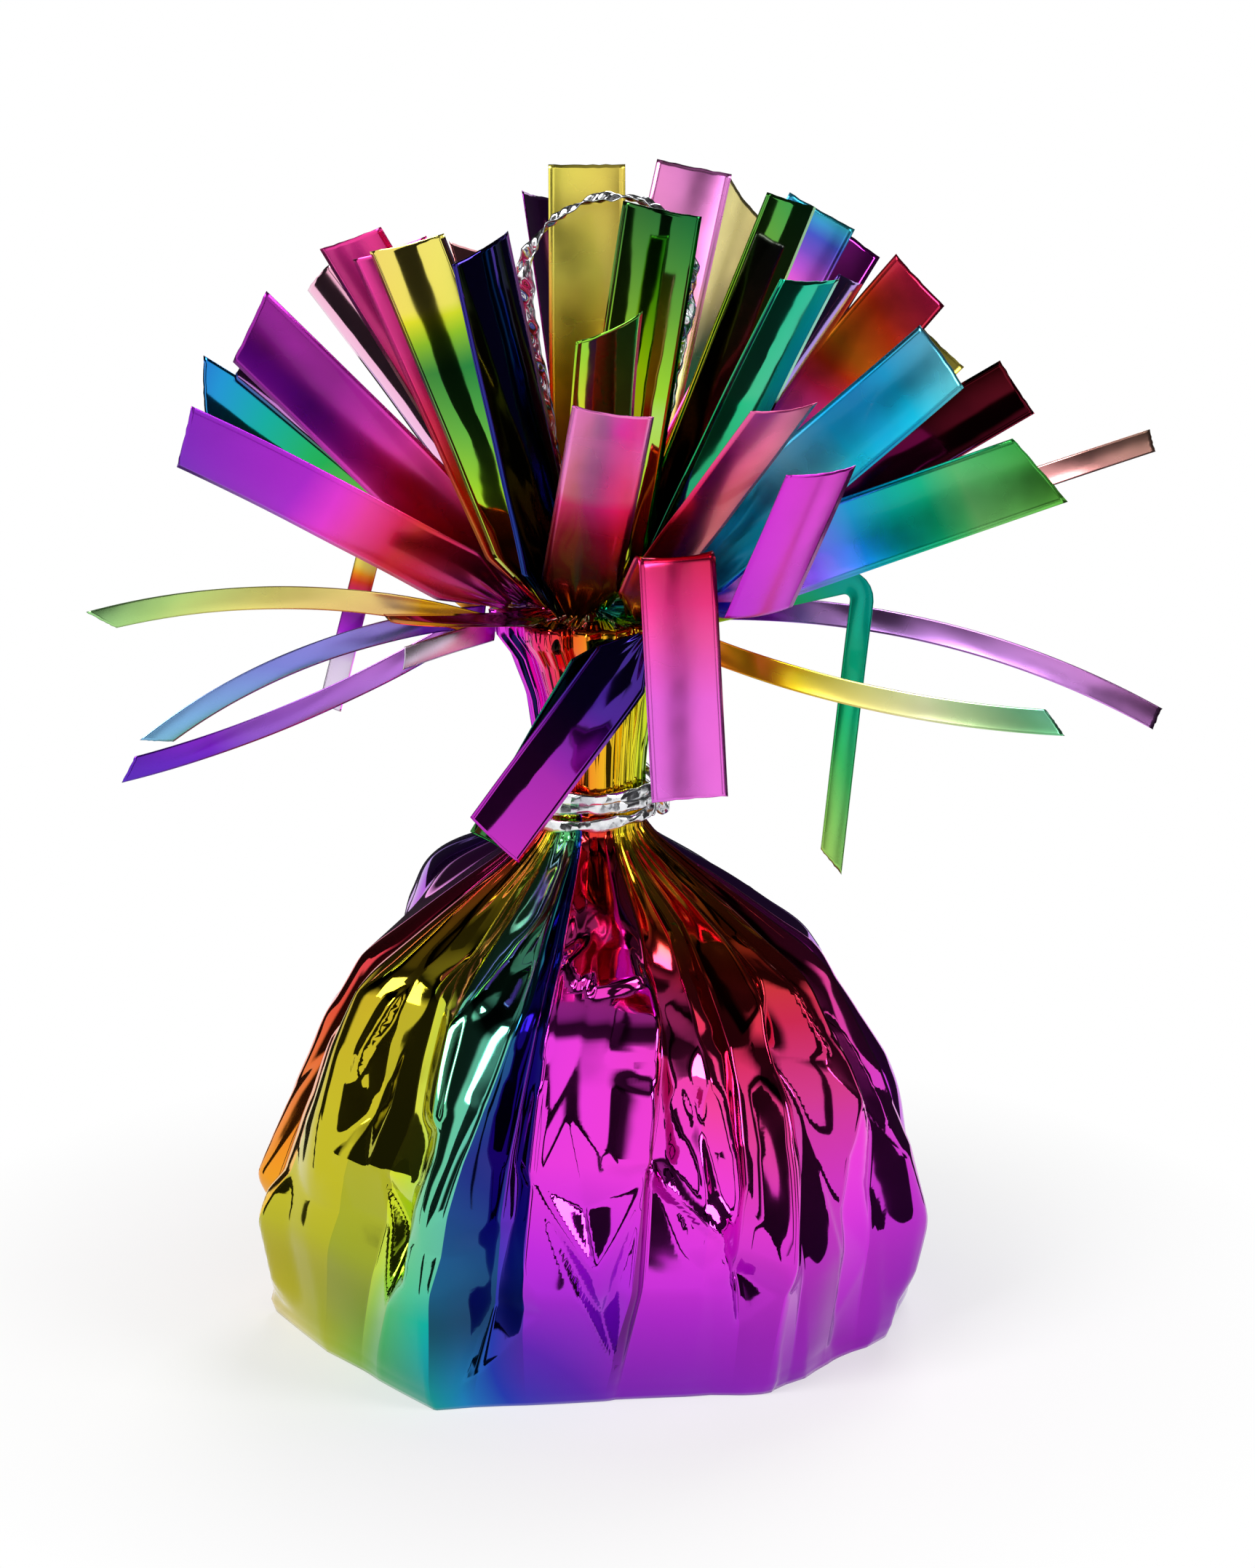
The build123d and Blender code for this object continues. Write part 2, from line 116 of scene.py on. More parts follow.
def lay_grid(
    name: str,
    points: Array,
    dye: Array | None = None,
    far_dye: Array | None = None,
    closed: bool = False,
    poles: bool = False,
) -> Piece:
    """Put a grid of points into a mesh object.

    A face spans each pair of neighbouring rows and columns. A closed grid joins its last column to its
    first, and a grid with poles has its first and last rows drawn together into one point each.

    Args:
        name: Name of the new object.
        points: Grid of places in millimetres, rows by columns by 3.
        dye: Grid of dye share and tone for the map named Dye, rows by columns by 2; zeros if left out. A
        tone under a half is painted shade and painted dark reflection.
        far_dye: The same at the far side of each column's faces, where the print breaks between columns.
        closed: Whether the columns run all the way round.
        poles: Whether the first and last rows are single points.

    Returns:
        The linked object, smooth shaded, at the origin.
    """
    dye = np.zeros((*points.shape[:2], 2)) if dye is None else dye
    inner = slice(1, -1) if poles else slice(None)
    rings = points[inner]
    rows, columns = rings.shape[:2]
    index = np.arange(rows * columns).reshape(rows, columns)
    left = index if closed else index[:, :-1]
    right = np.roll(index, -1, axis=1) if closed else index[:, 1:]
    near = dye if closed else dye[:, :-1]
    far = far_dye if far_dye is not None else np.roll(dye, -1, axis=1)[:, : near.shape[1]]
    near, far = near[inner], far[inner]
    faces = np.stack([left[:-1], right[:-1], right[1:], left[1:]], axis=-1).reshape(-1, 4).tolist()
    tint = [np.stack([near[:-1], far[:-1], far[1:], near[1:]], axis=2).reshape(-1, 2)]
    places = rings.reshape(-1, 3)
    if poles:
        low, high = np.full(columns, len(places)), np.full(columns, len(places) + 1)
        faces += np.stack([low, right[0], left[0]], axis=-1).tolist()
        faces += np.stack([left[-1], right[-1], high], axis=-1).tolist()
        tint.append(np.stack([dye[0], far[0], near[0]], axis=1).reshape(-1, 2))
        tint.append(np.stack([near[-1], far[-1], dye[-1]], axis=1).reshape(-1, 2))
        places = np.concatenate([places, points[:1, 0], points[-1:, 0]])
    mesh = bpy.data.meshes.new(name)
    mesh.from_pydata((places * MM).tolist(), [], faces)
    # The map's second part is the tone; under a half it is painted shade and painted dark reflection.
    mesh.uv_layers.new(name="Dye").data.foreach_set("uv", np.concatenate(tint).astype(np.float32).ravel())
    mesh.polygons.foreach_set("use_smooth", np.ones(len(mesh.polygons), dtype=bool))
    mesh.update()
    piece = bpy.data.objects.new(name, mesh)
    bpy.context.scene.collection.objects.link(piece)
    return piece


def thicken(piece: Piece, film: float) -> None:
    """Give a sheet its thickness in millimetres, half to each side."""
    sheet = piece.modifiers.new("film", "SOLIDIFY")
    sheet.thickness = film * MM
    sheet.offset = 0.0


def grey(stops: tuple) -> tuple:
    """Colour stops from stops of place and brightness."""
    return tuple((place, (value, value, value)) for place, value in stops)


@dataclass
class NodeBench:
    """A material or world under construction: adds shader nodes and joins them."""

    material: bpy.types.ID

    @classmethod
    def start(cls, name: str) -> "NodeBench":
        """A new node material with its principled shader and output."""
        material = bpy.data.materials.new(name)
        material.use_nodes = True
        return cls(material)

    @property
    def shader(self) -> bpy.types.Node:
        """The principled shader."""
        return self.material.node_tree.nodes["Principled BSDF"]

    def add(self, kind: str, inputs: dict | None = None, **settings: object) -> bpy.types.Node:
        """Add a node.

        Args:
            kind: Blender's node type.
            inputs: Socket name or number to a value, or to the output socket that feeds it.
            settings: Properties of the node itself.

        Returns:
            The new node.
        """
        node = self.material.node_tree.nodes.new(kind)
        for key, value in settings.items():
            setattr(node, key, value)
        for key, value in (inputs or {}).items():
            self.feed(node.inputs[key], value)
        return node

    def feed(self, socket: Socket, value: object) -> None:
        """Set a socket to a value, or join it to the output socket given."""
        if isinstance(value, Socket):
            self.material.node_tree.links.new(value, socket)
        else:
            socket.default_value = value

    def surface(self, values: dict) -> None:
        """Set inputs of the principled shader, by name, to values or from output sockets."""
        for key, value in values.items():
            self.feed(self.shader.inputs[key], value)

    def place(self) -> Socket:
        """Place in the object's own space, in metres."""
        return self.add("ShaderNodeTexCoord").outputs["Object"]

    def noise(self, scale: float, detail: float) -> Socket:
        """Soft noise from 0 to 1 over the object's own space."""
        inputs = {"Vector": self.place(), "Scale": scale, "Detail": detail}
        return self.add("ShaderNodeTexNoise", inputs).outputs["Fac"]

    def bump(self, height: Socket, depth: float, strength: float) -> Socket:
        """Normals bumped by a height that spans a depth in metres."""
        inputs = {"Height": height, "Distance": depth, "Strength": strength}
        return self.add("ShaderNodeBump", inputs).outputs["Normal"]

    def math(self, operation: str, first: object, second: object = 0.0) -> Socket:
        """One step of arithmetic on two values or sockets."""
        return self.add("ShaderNodeMath", {0: first, 1: second}, operation=operation).outputs[0]

    def ramp(self, factor: Socket, stops: tuple) -> Socket:
        """A colour ramp from (place, colour) stops.

        Args:
            factor: Socket that is looked up.
            stops: Places from 0 to 1, each with a linear colour of three parts.

        Returns:
            The ramp's colour socket.
        """
        node = self.add("ShaderNodeValToRGB", {"Fac": factor})
        elements = node.color_ramp.elements
        while len(elements) < len(stops):
            elements.new(0.5)
        for element, (place, colour) in zip(elements, stops):
            element.position = place
            element.color = (*colour, 1.0)
        return node.outputs["Color"]

    def span(self, value: Socket, source: tuple, target: tuple) -> Socket:
        """Map a value from one span to another, held at the ends."""
        return self.add(
            "ShaderNodeMapRange",
            {"Value": value, 1: source[0], 2: source[1], 3: target[0], 4: target[1]},
        ).outputs["Result"]

    def mix(self, factor: object, first: object, second: object, blend: str = "MIX") -> Socket:
        """Mix two colours by a factor."""
        node = self.add("ShaderNodeMix", data_type="RGBA", blend_type=blend)
        for number, value in ((0, factor), (6, first), (7, second)):
            self.feed(node.inputs[number], value)
        return node.outputs[2]


@dataclass(frozen=True)
class FoilFinish:
    """Rainbow metallised film: dyed lacquer over bright metal, softly crinkled, with rubbed patches.

    The map named Dye gives the place on the rainbow and a tone: a half is plain, more is paler, less is
    darker, which is painted shade and painted dark reflection.
    """

    name: str
    gloss: tuple = (0.03, 0.1)
    rub_scale: float = 95.0
    rub_span: tuple = (0.35, 0.7)
    crinkle_scale: float = 130.0
    crinkle_depth: float = 0.0006
    crinkle_strength: float = 0.1
    coat: float = 0.2
    coat_roughness: float = 0.05
    rainbow: tuple = (
        (0.0, (0.90, 0.46, 0.01)),
        (0.07, (0.88, 0.76, 0.02)),
        (0.135, (0.34, 0.66, 0.02)),
        (0.21, (0.01, 0.52, 0.10)),
        (0.30, (0.0, 0.48, 0.40)),
        (0.38, (0.01, 0.34, 0.74)),
        (0.45, (0.02, 0.06, 0.66)),
        (0.54, (0.16, 0.02, 0.62)),
        (0.63, (0.52, 0.02, 0.72)),
        (0.70, (0.86, 0.04, 0.72)),
        (0.77, (0.90, 0.05, 0.36)),
        (0.84, (0.82, 0.02, 0.10)),
        (0.90, (0.84, 0.05, 0.01)),
        (0.95, (0.90, 0.20, 0.01)),
        (1.0, (0.90, 0.46, 0.01)),
    )
    pale: tuple = (0.94, 0.92, 0.93, 1.0)
    pale_share: float = 0.9
    # Painted shade: near black that tones under a half mix into the print.
    painted_shade_colour: tuple = (0.004, 0.004, 0.006, 1.0)
    painted_shade_share: float = 0.97

    def build(self) -> Material:
        """Lay the print, its tone, the crinkle and the rubbed gloss on a metal shader."""
        bench = NodeBench.start(self.name)
        print_map = bench.add("ShaderNodeUVMap", uv_map="Dye").outputs["UV"]
        parts = bench.add("ShaderNodeSeparateXYZ", {0: print_map}).outputs
        tone = parts["Y"]
        colour = bench.ramp(bench.math("FRACT", parts["X"]), self.rainbow)
        colour = bench.mix(bench.span(tone, (PLAIN, 1.0), (0.0, self.pale_share)), colour, self.pale)
        # Tones under a half darken the print towards near black as painted shade and painted dark reflection.
        colour = bench.mix(bench.span(tone, (0.0, PLAIN), (self.painted_shade_share, 0.0)), colour, self.painted_shade_colour)
        crinkle = bench.noise(self.crinkle_scale, 2.0)
        bench.surface(
            {
                "Base Color": colour,
                "Roughness": bench.span(bench.noise(self.rub_scale, 3.0), self.rub_span, self.gloss),
                "Normal": bench.bump(crinkle, self.crinkle_depth, self.crinkle_strength),
                "Metallic": 1.0,
                "Coat Weight": self.coat,
                "Coat Roughness": self.coat_roughness,
            }
        )
        return bench.material


@dataclass(frozen=True)
class SilverFinish:
    """Bright metallised ribbon, creased across its width."""

    name: str = "silver_ribbon"
    bright: tuple = (0.86, 0.87, 0.89)
    grey: tuple = (0.55, 0.56, 0.60)
    gloss: tuple = (0.22, 0.1)
    patch_scale: float = 700.0
    crease_scale: float = 900.0
    crease_depth: float = 0.0002
    crease_strength: float = 0.4

    def build(self) -> Material:
        """Metal with rubbed grey patches and fine creases."""
        bench = NodeBench.start(self.name)
        patch = bench.noise(self.patch_scale, 3.0)
        crease = bench.add("ShaderNodeTexVoronoi", {"Vector": bench.place(), "Scale": self.crease_scale})
        bench.surface(
            {
                "Base Color": bench.ramp(patch, ((0.35, self.grey), (0.6, self.bright))),
                "Roughness": bench.span(patch, (0.3, 0.7), self.gloss),
                "Normal": bench.bump(crease.outputs["Distance"], self.crease_depth, self.crease_strength),
                "Metallic": 1.0,
            }
        )
        return bench.material


@dataclass(frozen=True)
class GrainFinish:
    """A matt finish with grain, for the moulded tub and the sand inside it."""

    name: str
    light: tuple
    dark: tuple
    scale: float
    roughness: float
    bump: float
    grain_depth: float = 0.0003

    def build(self) -> Material:
        """Two tones of grain over a rough surface."""
        bench = NodeBench.start(self.name)
        grain = bench.noise(self.scale, 4.0)
        bench.surface(
            {
                "Base Color": bench.ramp(grain, ((0.35, self.dark), (0.65, self.light))),
                "Roughness": self.roughness,
                "Normal": bench.bump(grain, self.grain_depth, self.bump),
            }
        )
        return bench.material


def dress(piece: Piece, finish: Material, body: str, *nodes: str) -> None:
    """Give a piece its finish, let it ride on a body and stand for the solids it replaces.

    Args:
        piece: Finished mesh object.
        finish: Material of the piece.
        body: Body that it moves with.
        nodes: Solids that it stands for.
    """
    piece.data.materials.append(finish)
    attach(piece, body)
    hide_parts(*nodes)
    log.info("%s: %d faces on %s", piece.name, len(piece.data.polygons), body)


@dataclass(frozen=True)
class FoldLine:
    """One fold line up the wrap, and the panel of film on its right.

    Azimuths in degrees and dye shares are given at even heights from the foot to the waist. The lift is
    how far the line stands out, in millimetres. The tone makes the panel paler above a half, and below a
    half darker with painted shade and painted dark reflection.
    """

    azimuths: tuple
    lift: float
    dye: tuple
    tone: float = PLAIN


class Fold(Enum):
    """How film stands at a crease: up to a ridge or down to a valley, or one edge lapped over the other."""

    RIDGE = "ridge"
    LAP = "lap"


@dataclass(frozen=True)
class Crease:
    """A straight crease from one place on the side to another: azimuths in degrees, heights as shares.

    The reach is how far to its sides the film is lifted, in millimetres. A lap that runs downwards has
    its raised edge on the left.
    """

    azimuth: float
    height: float
    far_azimuth: float
    far_height: float
    reach: float
    lift: float
    fold: Fold = Fold.RIDGE


@dataclass(frozen=True)
class Dent:
    """A facetted dent: its deepest place, the corners of its rim going round, and its depth in millimetres.

    Each place is an azimuth in degrees and a height share.
    """

    apex: tuple
    corners: tuple
    depth: float


# A tone under a half paints shade and dark reflection into its panel.
FOLD_LINES = tuple(
    FoldLine(*row)
    for row in (
        ((-95, -92, -90, -88, -86), 1.3, (-0.02, -0.02, -0.06, -0.13, -0.2)),
        ((-91, -85, -80, -77, -74), -1.5, (0.0, 0.0, -0.05, -0.16, -0.26)),
        ((-87, -78, -69, -67, -63), 1.9, (0.05, 0.08, 0.07, 0.04, -0.14), 0.32),
        ((-66, -60, -55, -56, -56), -0.9, (0.1, 0.1, 0.08, 0.06, 0.0), 0.28),
        ((-54, -46, -43, -47, -50), -1.6, (0.15, 0.11, 0.09, 0.09, 0.12)),
        ((-48, -37, -31, -34, -38), 1.4, (0.2, 0.22, 0.23, 0.25, 0.2), 0.57),
        ((-30.5, -28.5, -24, -17, -16), 1.8, (0.3, 0.38, 0.45, 0.38, 0.26), 0.16),
        ((-24, -20, -17.5, -13.5, -12.5), -1.8, (0.4, 0.47, 0.57, 0.59, 0.4), 0.38),
        ((-14, -13, -11.5, -10, -9), 1.4, (0.47, 0.6, 0.69, 0.69, 0.88)),
        ((3, 8, 11.5, 16.5, 22), 1.5, (0.55, 0.64, 0.75, 0.84, 0.95), 0.2),
        ((6, 11, 14, 19.5, 27), -1.6, (0.57, 0.65, 0.71, 0.79, 1.05)),
        ((22, 22, 24, 28, 34), 1.2, (0.58, 0.65, 0.73, 0.86, 1.06)),
        ((31, 31, 34, 39, 44), -1.3, (0.59, 0.66, 0.77, 0.88, 1.03), 0.42),
        ((37, 38, 41, 47, 51), 1.8, (0.6, 0.66, 0.76, 0.88, 1.05)),
        ((44, 46, 48, 56, 58), -1.7, (0.6, 0.66, 0.75, 0.88, 1.0), 0.36),
        ((56, 58, 62, 68, 69), 1.8, (0.62, 0.66, 0.72, 0.85, 0.98)),
        ((66, 67, 70, 75, 78), -1.5, (0.62, 0.65, 0.71, 0.8, 0.95), 0.4),
        ((76, 78, 80, 84, 86), 1.6, (0.6, 0.63, 0.67, 0.76, 0.9), 0.42),
        ((83, 84, 86, 90, 90), -0.9, (0.59, 0.62, 0.65, 0.72, 0.8)),
        ((91, 92, 93, 95, 95), 1.4, (0.58, 0.6, 0.63, 0.66, 0.7)),
        ((101, 101, 101, 100, 99), -1.4, (0.56, 0.58, 0.61, 0.6, 0.58)),
        ((112, 111, 112, 114, 115), 1.3, (0.53, 0.55, 0.57, 0.53, 0.5)),
        ((122, 122, 124, 124, 124), -1.6, (0.49, 0.51, 0.53, 0.49, 0.45)),
        ((134, 135, 136, 137, 138), 1.4, (0.46, 0.47, 0.47, 0.44, 0.4)),
        ((142, 143, 145, 146, 146), -1.3, (0.42, 0.42, 0.43, 0.39, 0.34)),
        ((150, 151, 152, 153, 154), 1.7, (0.38, 0.38, 0.37, 0.33, 0.28)),
        ((161, 161, 162, 163, 164), -1.5, (0.34, 0.33, 0.31, 0.27, 0.22)),
        ((172, 171, 171, 173, 174), 1.3, (0.3, 0.28, 0.26, 0.21, 0.15)),
        ((183, 183, 182, 183, 184), -1.4, (0.26, 0.24, 0.21, 0.15, 0.09)),
        ((195, 194, 193, 193, 195), 1.2, (0.21, 0.19, 0.15, 0.08, 0.02)),
        ((203, 204, 203, 202, 204), -1.2, (0.17, 0.14, 0.09, 0.0, -0.08)),
        ((211, 212, 212, 211, 212), 1.7, (0.13, 0.09, 0.0, -0.32, -0.48)),
        ((222, 223, 222, 221, 222), -1.6, (0.09, 0.03, -0.1, -0.42, -0.5)),
        ((235, 234, 234, 233, 232), 1.6, (0.05, -0.01, -0.12, -0.4, -0.5)),
        ((246, 247, 247, 246, 247), -1.6, (0.03, -0.02, -0.1, -0.28, -0.42)),
    )
)
CREASES = tuple(
    Crease(*row)
    for row in (
        (20, 0.81, 14, 0.66, 5.0, 0.9, Fold.LAP), (14, 0.66, 12, 0.47, 5.0, 0.9, Fold.LAP),
        (30, 0.30, 12, 0.48, 5.0, 1.1, Fold.LAP), (34, 0.02, 30, 0.30, 2.5, 0.5),
        (-8, 0.84, -10.5, 0.66, 3.5, 0.8, Fold.LAP), (-10.5, 0.66, -12, 0.45, 3.5, 0.8, Fold.LAP),
        (-12.5, 0.78, -21, 0.59, 3.5, 0.8), (-21, 0.59, -26, 0.41, 3.5, 0.9),
        (-34, 0.76, -31, 0.53, 4.0, 0.9, Fold.LAP), (-67, 0.95, -66.5, 0.72, 3.0, 0.7),
        (-66.5, 0.72, -62, 0.40, 3.5, 0.8), (-56, 0.76, -61, 0.53, 4.0, 0.8, Fold.LAP),
        (19, 0.67, 21, 0.54, 3.0, 0.9), (21, 0.54, 27, 0.35, 3.0, 1.0), (26.5, 0.63, 30, 0.49, 3.0, 0.9),
        (30, 0.49, 30.5, 0.30, 3.0, 1.0), (24, 0.58, 25.5, 0.42, 2.0, -0.9),
        (52, 0.66, 59, 0.05, 4.0, -1.2), (59, 0.58, 75, 0.38, 3.0, 0.8),
        (74.5, 0.66, 74, 0.40, 4.0, 0.8, Fold.LAP), (76, 0.37, 79, 0.14, 3.0, 0.9),
        (46, 0.55, 37, 0.29, 3.0, 1.0), (-2, 0.79, -9, 0.84, 6.0, 1.2, Fold.LAP),
        (18.5, 0.80, -2, 0.79, 6.0, 1.3, Fold.LAP), (-4, 0.92, 18, 0.86, 2.5, 0.9),
        (47, 0.98, 20, 0.81, 2.5, -0.9), (74, 0.98, 35, 0.85, 2.5, 0.9), (73, 0.96, 51, 0.83, 2.5, 0.8),
        (60, 0.84, 61, 0.58, 4.0, 0.9, Fold.LAP), (34, 0.83, 35, 0.74, 3.0, -0.9),
        (-44, 0.80, -37, 0.88, 2.5, -1.0), (-33, 0.79, -33, 0.88, 2.5, 0.9),
        (-28, 0.85, -14.5, 0.90, 2.5, 1.0), (-59, 0.43, -44, 0.43, 4.0, 0.9),
        (-89.5, 0.23, -89.5, 0.09, 2.5, -0.8), (-79, 0.29, -79, 0.11, 2.5, 0.8),
        (-71, 0.62, -89, 0.25, 3.0, 0.8),
    )
)
DENTS = tuple(
    Dent(*row)
    for row in (
        ((-21.5, 0.2), ((-28, 0.01), (-9, 0.21), (-15.5, 0.38), (-26, 0.36)), 3.0),
        ((-39, 0.31), ((-40, 0.19), (-34, 0.25), (-35, 0.44), (-46, 0.43)), 2.8),
        ((-1.0, 0.4), ((1.0, 0.3), (11, 0.46), (-4.5, 0.58), (-11, 0.47)), 2.7),
        ((2.5, 0.18), ((6.0, 0.06), (10.5, 0.43), (1.0, 0.3), (-9.5, 0.42)), 2.7),
        ((31.0, 0.26), ((30.5, 0.15), (38, 0.22), (33, 0.42), (25, 0.38)), 2.4),
        ((-57.0, 0.52), ((-63, 0.36), (-50, 0.42), (-51, 0.64), (-64, 0.62)), 1.5),
        ((-85.0, 0.18), ((-91, 0.08), (-77, 0.06), (-79, 0.28), (-90, 0.27)), 1.3),
        ((60.0, 0.3), ((58, 0.08), (67, 0.2), (63, 0.52), (54, 0.42)), 1.6),
        ((17.5, 0.5), ((21, 0.32), (24, 0.55), (17, 0.66), (14, 0.48)), 1.3),
    )
)


@dataclass
class Wrap:
    """The sheet of film gathered round the tub and tied at the neck.

    Sizes are in millimetres. A span is the two heights, as shares, between which something comes in.
    """

    body_radius: float = 36.6
    body_height: float = 60.6
    neck_radius: float = 6.6
    tie_band: float = 5.85
    collar_radius: float = 11.4
    collar_height: float = 86.0
    slope_length: float = 68.0
    column_turn: float = 0.72
    least_columns: int = 4
    side_rows: int = 120
    neck_rows: int = 26
    end_rows: int = 9
    levels: tuple = (0.0, 0.035, 0.24, 0.46, 0.61, 0.74, 0.86, 0.95, 1.0)
    radii: tuple = (1.0, 1.02, 1.03, 0.915, 0.81, 0.69, 0.43, 0.23, 0.18)
    ease_rows: int = 401
    ease_window: int = 25
    corners: tuple = (
        (-88, 1.02), (-66, 0.92), (-30, 0.955), (39, 0.885), (58, 0.915),
        (75, 0.97), (102, 1.01), (150, 0.96), (211, 0.96),
    )
    corner_shares: tuple = (1.0, 0.95, 0.6, 0.4, 0.25, 0.15, 0.05, 0.0, 0.0)
    pleat_depths: tuple = (0.1, 0.18, 0.75, 1.0, 1.0, 1.0, 0.7, 0.35, 0.3)
    bellies: tuple = (-0.55, 0.7)
    panel_gathers: float = 2.0
    gather_size: float = 0.16
    gather_span: tuple = (0.8, 0.96)
    slim_share: float = 0.75
    slim_least: float = 0.25
    waist_span: tuple = (0.93, 1.0)
    neck_levels: tuple = (0.0, 0.2, 0.5, 0.75, 0.9, 1.0)
    neck_flares: tuple = (0.0, 0.05, 0.16, 0.5, 0.95, 1.0)
    neck_inset: float = 0.5
    neck_pleats: float = 0.55
    neck_gathers: float = 0.3
    neck_least: float = 0.25
    neck_span: tuple = (0.0, 0.8)
    foot_ripple: float = 0.18
    foot_ripples: int = 10
    top_pleats: float = 0.25
    top_sink: float = 0.4
    lobes: tuple = ((-132, 28, 0.87, 0.11, 8.4), (126, 22, 0.85, 0.09, 1.1), (90, 40, 0.5, 0.2, 1.5))
    waves: tuple = ((7, 5.0, 0.3), (11, 8.0, 0.16))
    wave_patch: tuple = (3.0, -5.0, 0.4)
    wave_span: tuple = (0.0, 0.1)
    neck_azimuths: tuple = (-180, -130, -85, -50, -30, 0, 30, 60, 90, 130, 180)
    neck_dye: tuple = (0.9, 0.7, 0.64, 0.7, 0.83, 0.97, 1.04, 1.1, 1.15, 1.05, 0.9)
    neck_dye_span: tuple = (0.02, 0.2)
    top_dye_run: float = 0.3
    foot_dye: float = 0.4
    own_dye: float = 0.75
    own_dye_span: tuple = (0.06, 0.3)
    tone_span: tuple = (0.0, 0.2)
    foot_shade: float = 0.17
    foot_shade_span: tuple = (0.0, 0.34)
    lines: tuple = FOLD_LINES
    creases: tuple = CREASES
    dents: tuple = DENTS
    crease_depth: float = 1.9
    crease_spread: float = 1.6
    crease_rounding: float = 0.1
    lap_steepness: float = 6.0
    lap_fade: float = 0.2
    back_creases_drawn: int = 34
    back_crease_least: tuple = (98.0, 0.1, -14.0, -0.4, 4.0, 0.6)
    back_crease_most: tuple = (262.0, 0.9, 14.0, 0.4, 8.0, 1.2)
    back_crease_heights: tuple = (0.04, 0.95)
    seed: int = 11

    def back_creases(self) -> tuple:
        """Creases round the far side, from one seed, every third one a lap."""
        chance = np.random.default_rng(self.seed + 1)
        size = (self.back_creases_drawn, len(self.back_crease_least))
        rows = chance.uniform(self.back_crease_least, self.back_crease_most, size)
        rows[:, 5] *= np.where(np.arange(len(rows)) % 2, 1.0, -1.0)
        folds = (Fold.LAP, Fold.RIDGE, Fold.RIDGE)
        return tuple(
            Crease(a, h, a + da, np.clip(h + dh, *self.back_crease_heights), reach, lift, folds[n % 3])
            for n, (a, h, da, dh, reach, lift) in enumerate(rows.tolist())
        )

    def columns(self) -> tuple[Array, Array, Array]:
        """Panel number of each column, its place across the panel from 0 to 1 and the step to the next."""
        middles = np.array([line.azimuths[2] for line in self.lines], dtype=float)
        widths = np.diff(np.append(middles, middles[0] + 360.0))
        counts = np.maximum(self.least_columns, np.round(widths / self.column_turn)).astype(int)
        panel = np.repeat(np.arange(len(counts)), counts)
        first = np.repeat(np.cumsum(counts) - counts, counts)
        step = 1.0 / counts[panel]
        return panel, (np.arange(len(panel)) - first) * step, step

    def along_lines(self, share: Array, rows: list) -> Array:
        """Read each fold line's row of even-height values at the heights given: lines by heights."""
        knots = np.linspace(0.0, 1.0, len(rows[0]))
        return np.stack([np.interp(share, knots, row) for row in rows])

    def azimuths(self, share: Array) -> Array:
        """Azimuth of every grid point: each column keeps its place between two fold lines."""
        panel, across, _ = self.columns()
        here = self.along_lines(share, [line.azimuths for line in self.lines])
        after = np.concatenate([here[1:], here[:1] + 360.0])
        return (here[panel] + (after - here)[panel] * across[:, None]).T

    def pleat_lift(self) -> Array:
        """How far each column stands out: straight from fold line to fold line, plus half a sine of belly."""
        panel, across, _ = self.columns()
        lifts = np.array([line.lift for line in self.lines])
        steps = np.roll(lifts, -1) - lifts
        bellies = np.random.default_rng(self.seed + 2).uniform(*self.bellies, len(lifts))
        return lifts[panel] + steps[panel] * across + bellies[panel] * np.sin(np.pi * across)

    def gathers(self) -> Array:
        """Small gathers across every panel, from -1 to 1."""
        return zigzag(self.panel_gathers * self.columns()[1])

    def print_share(self, share: Array, across: Array) -> tuple[Array, Array]:
        """Dye and tone of the panels at the heights and places given.

        Near the foot the dye runs on from panel to panel; higher up each panel keeps more of its own, so
        the print breaks at the fold lines.

        Args:
            share: Heights as shares of the body.
            across: Place of every column across its panel.

        Returns:
            Grids of dye and tone, heights by columns.
        """
        panel = self.columns()[0]
        own = self.along_lines(share, [line.dye for line in self.lines])
        gap = wrapped(np.roll(own, -1, axis=0) - own, 1.0)
        drift = 1.0 - self.own_dye * smooth(share, *self.own_dye_span)
        dye = own[panel] + gap[panel] * drift * across[:, None]
        tones = np.array([line.tone for line in self.lines]) - PLAIN
        tone = PLAIN + tones[panel][:, None] * smooth(share, *self.tone_span)
        # Painted shade: the film is made darker towards the foot.
        tone = tone - self.foot_shade * (1.0 - smooth(share, *self.foot_shade_span))
        return dye.T, tone.T

    def unrolled(
        self, azimuth: Array, share: Array, start: tuple, level: float
    ) -> tuple[Array, Array, float]:
        """Measure grid points on the unrolled side.

        Args:
            azimuth: Grid of azimuths in degrees.
            share: Grid of heights as shares of the body.
            start: Azimuth and height share that is measured from.
            level: Height share at which degrees are turned into millimetres.

        Returns:
            Grids of millimetres sideways and upwards, and millimetres per degree.
        """
        per_degree = np.radians(np.interp(level, self.levels, self.radii) * self.body_radius)
        side = wrapped(azimuth - start[0], 360.0) * per_degree
        return side, (share - start[1]) * self.slope_length, per_degree

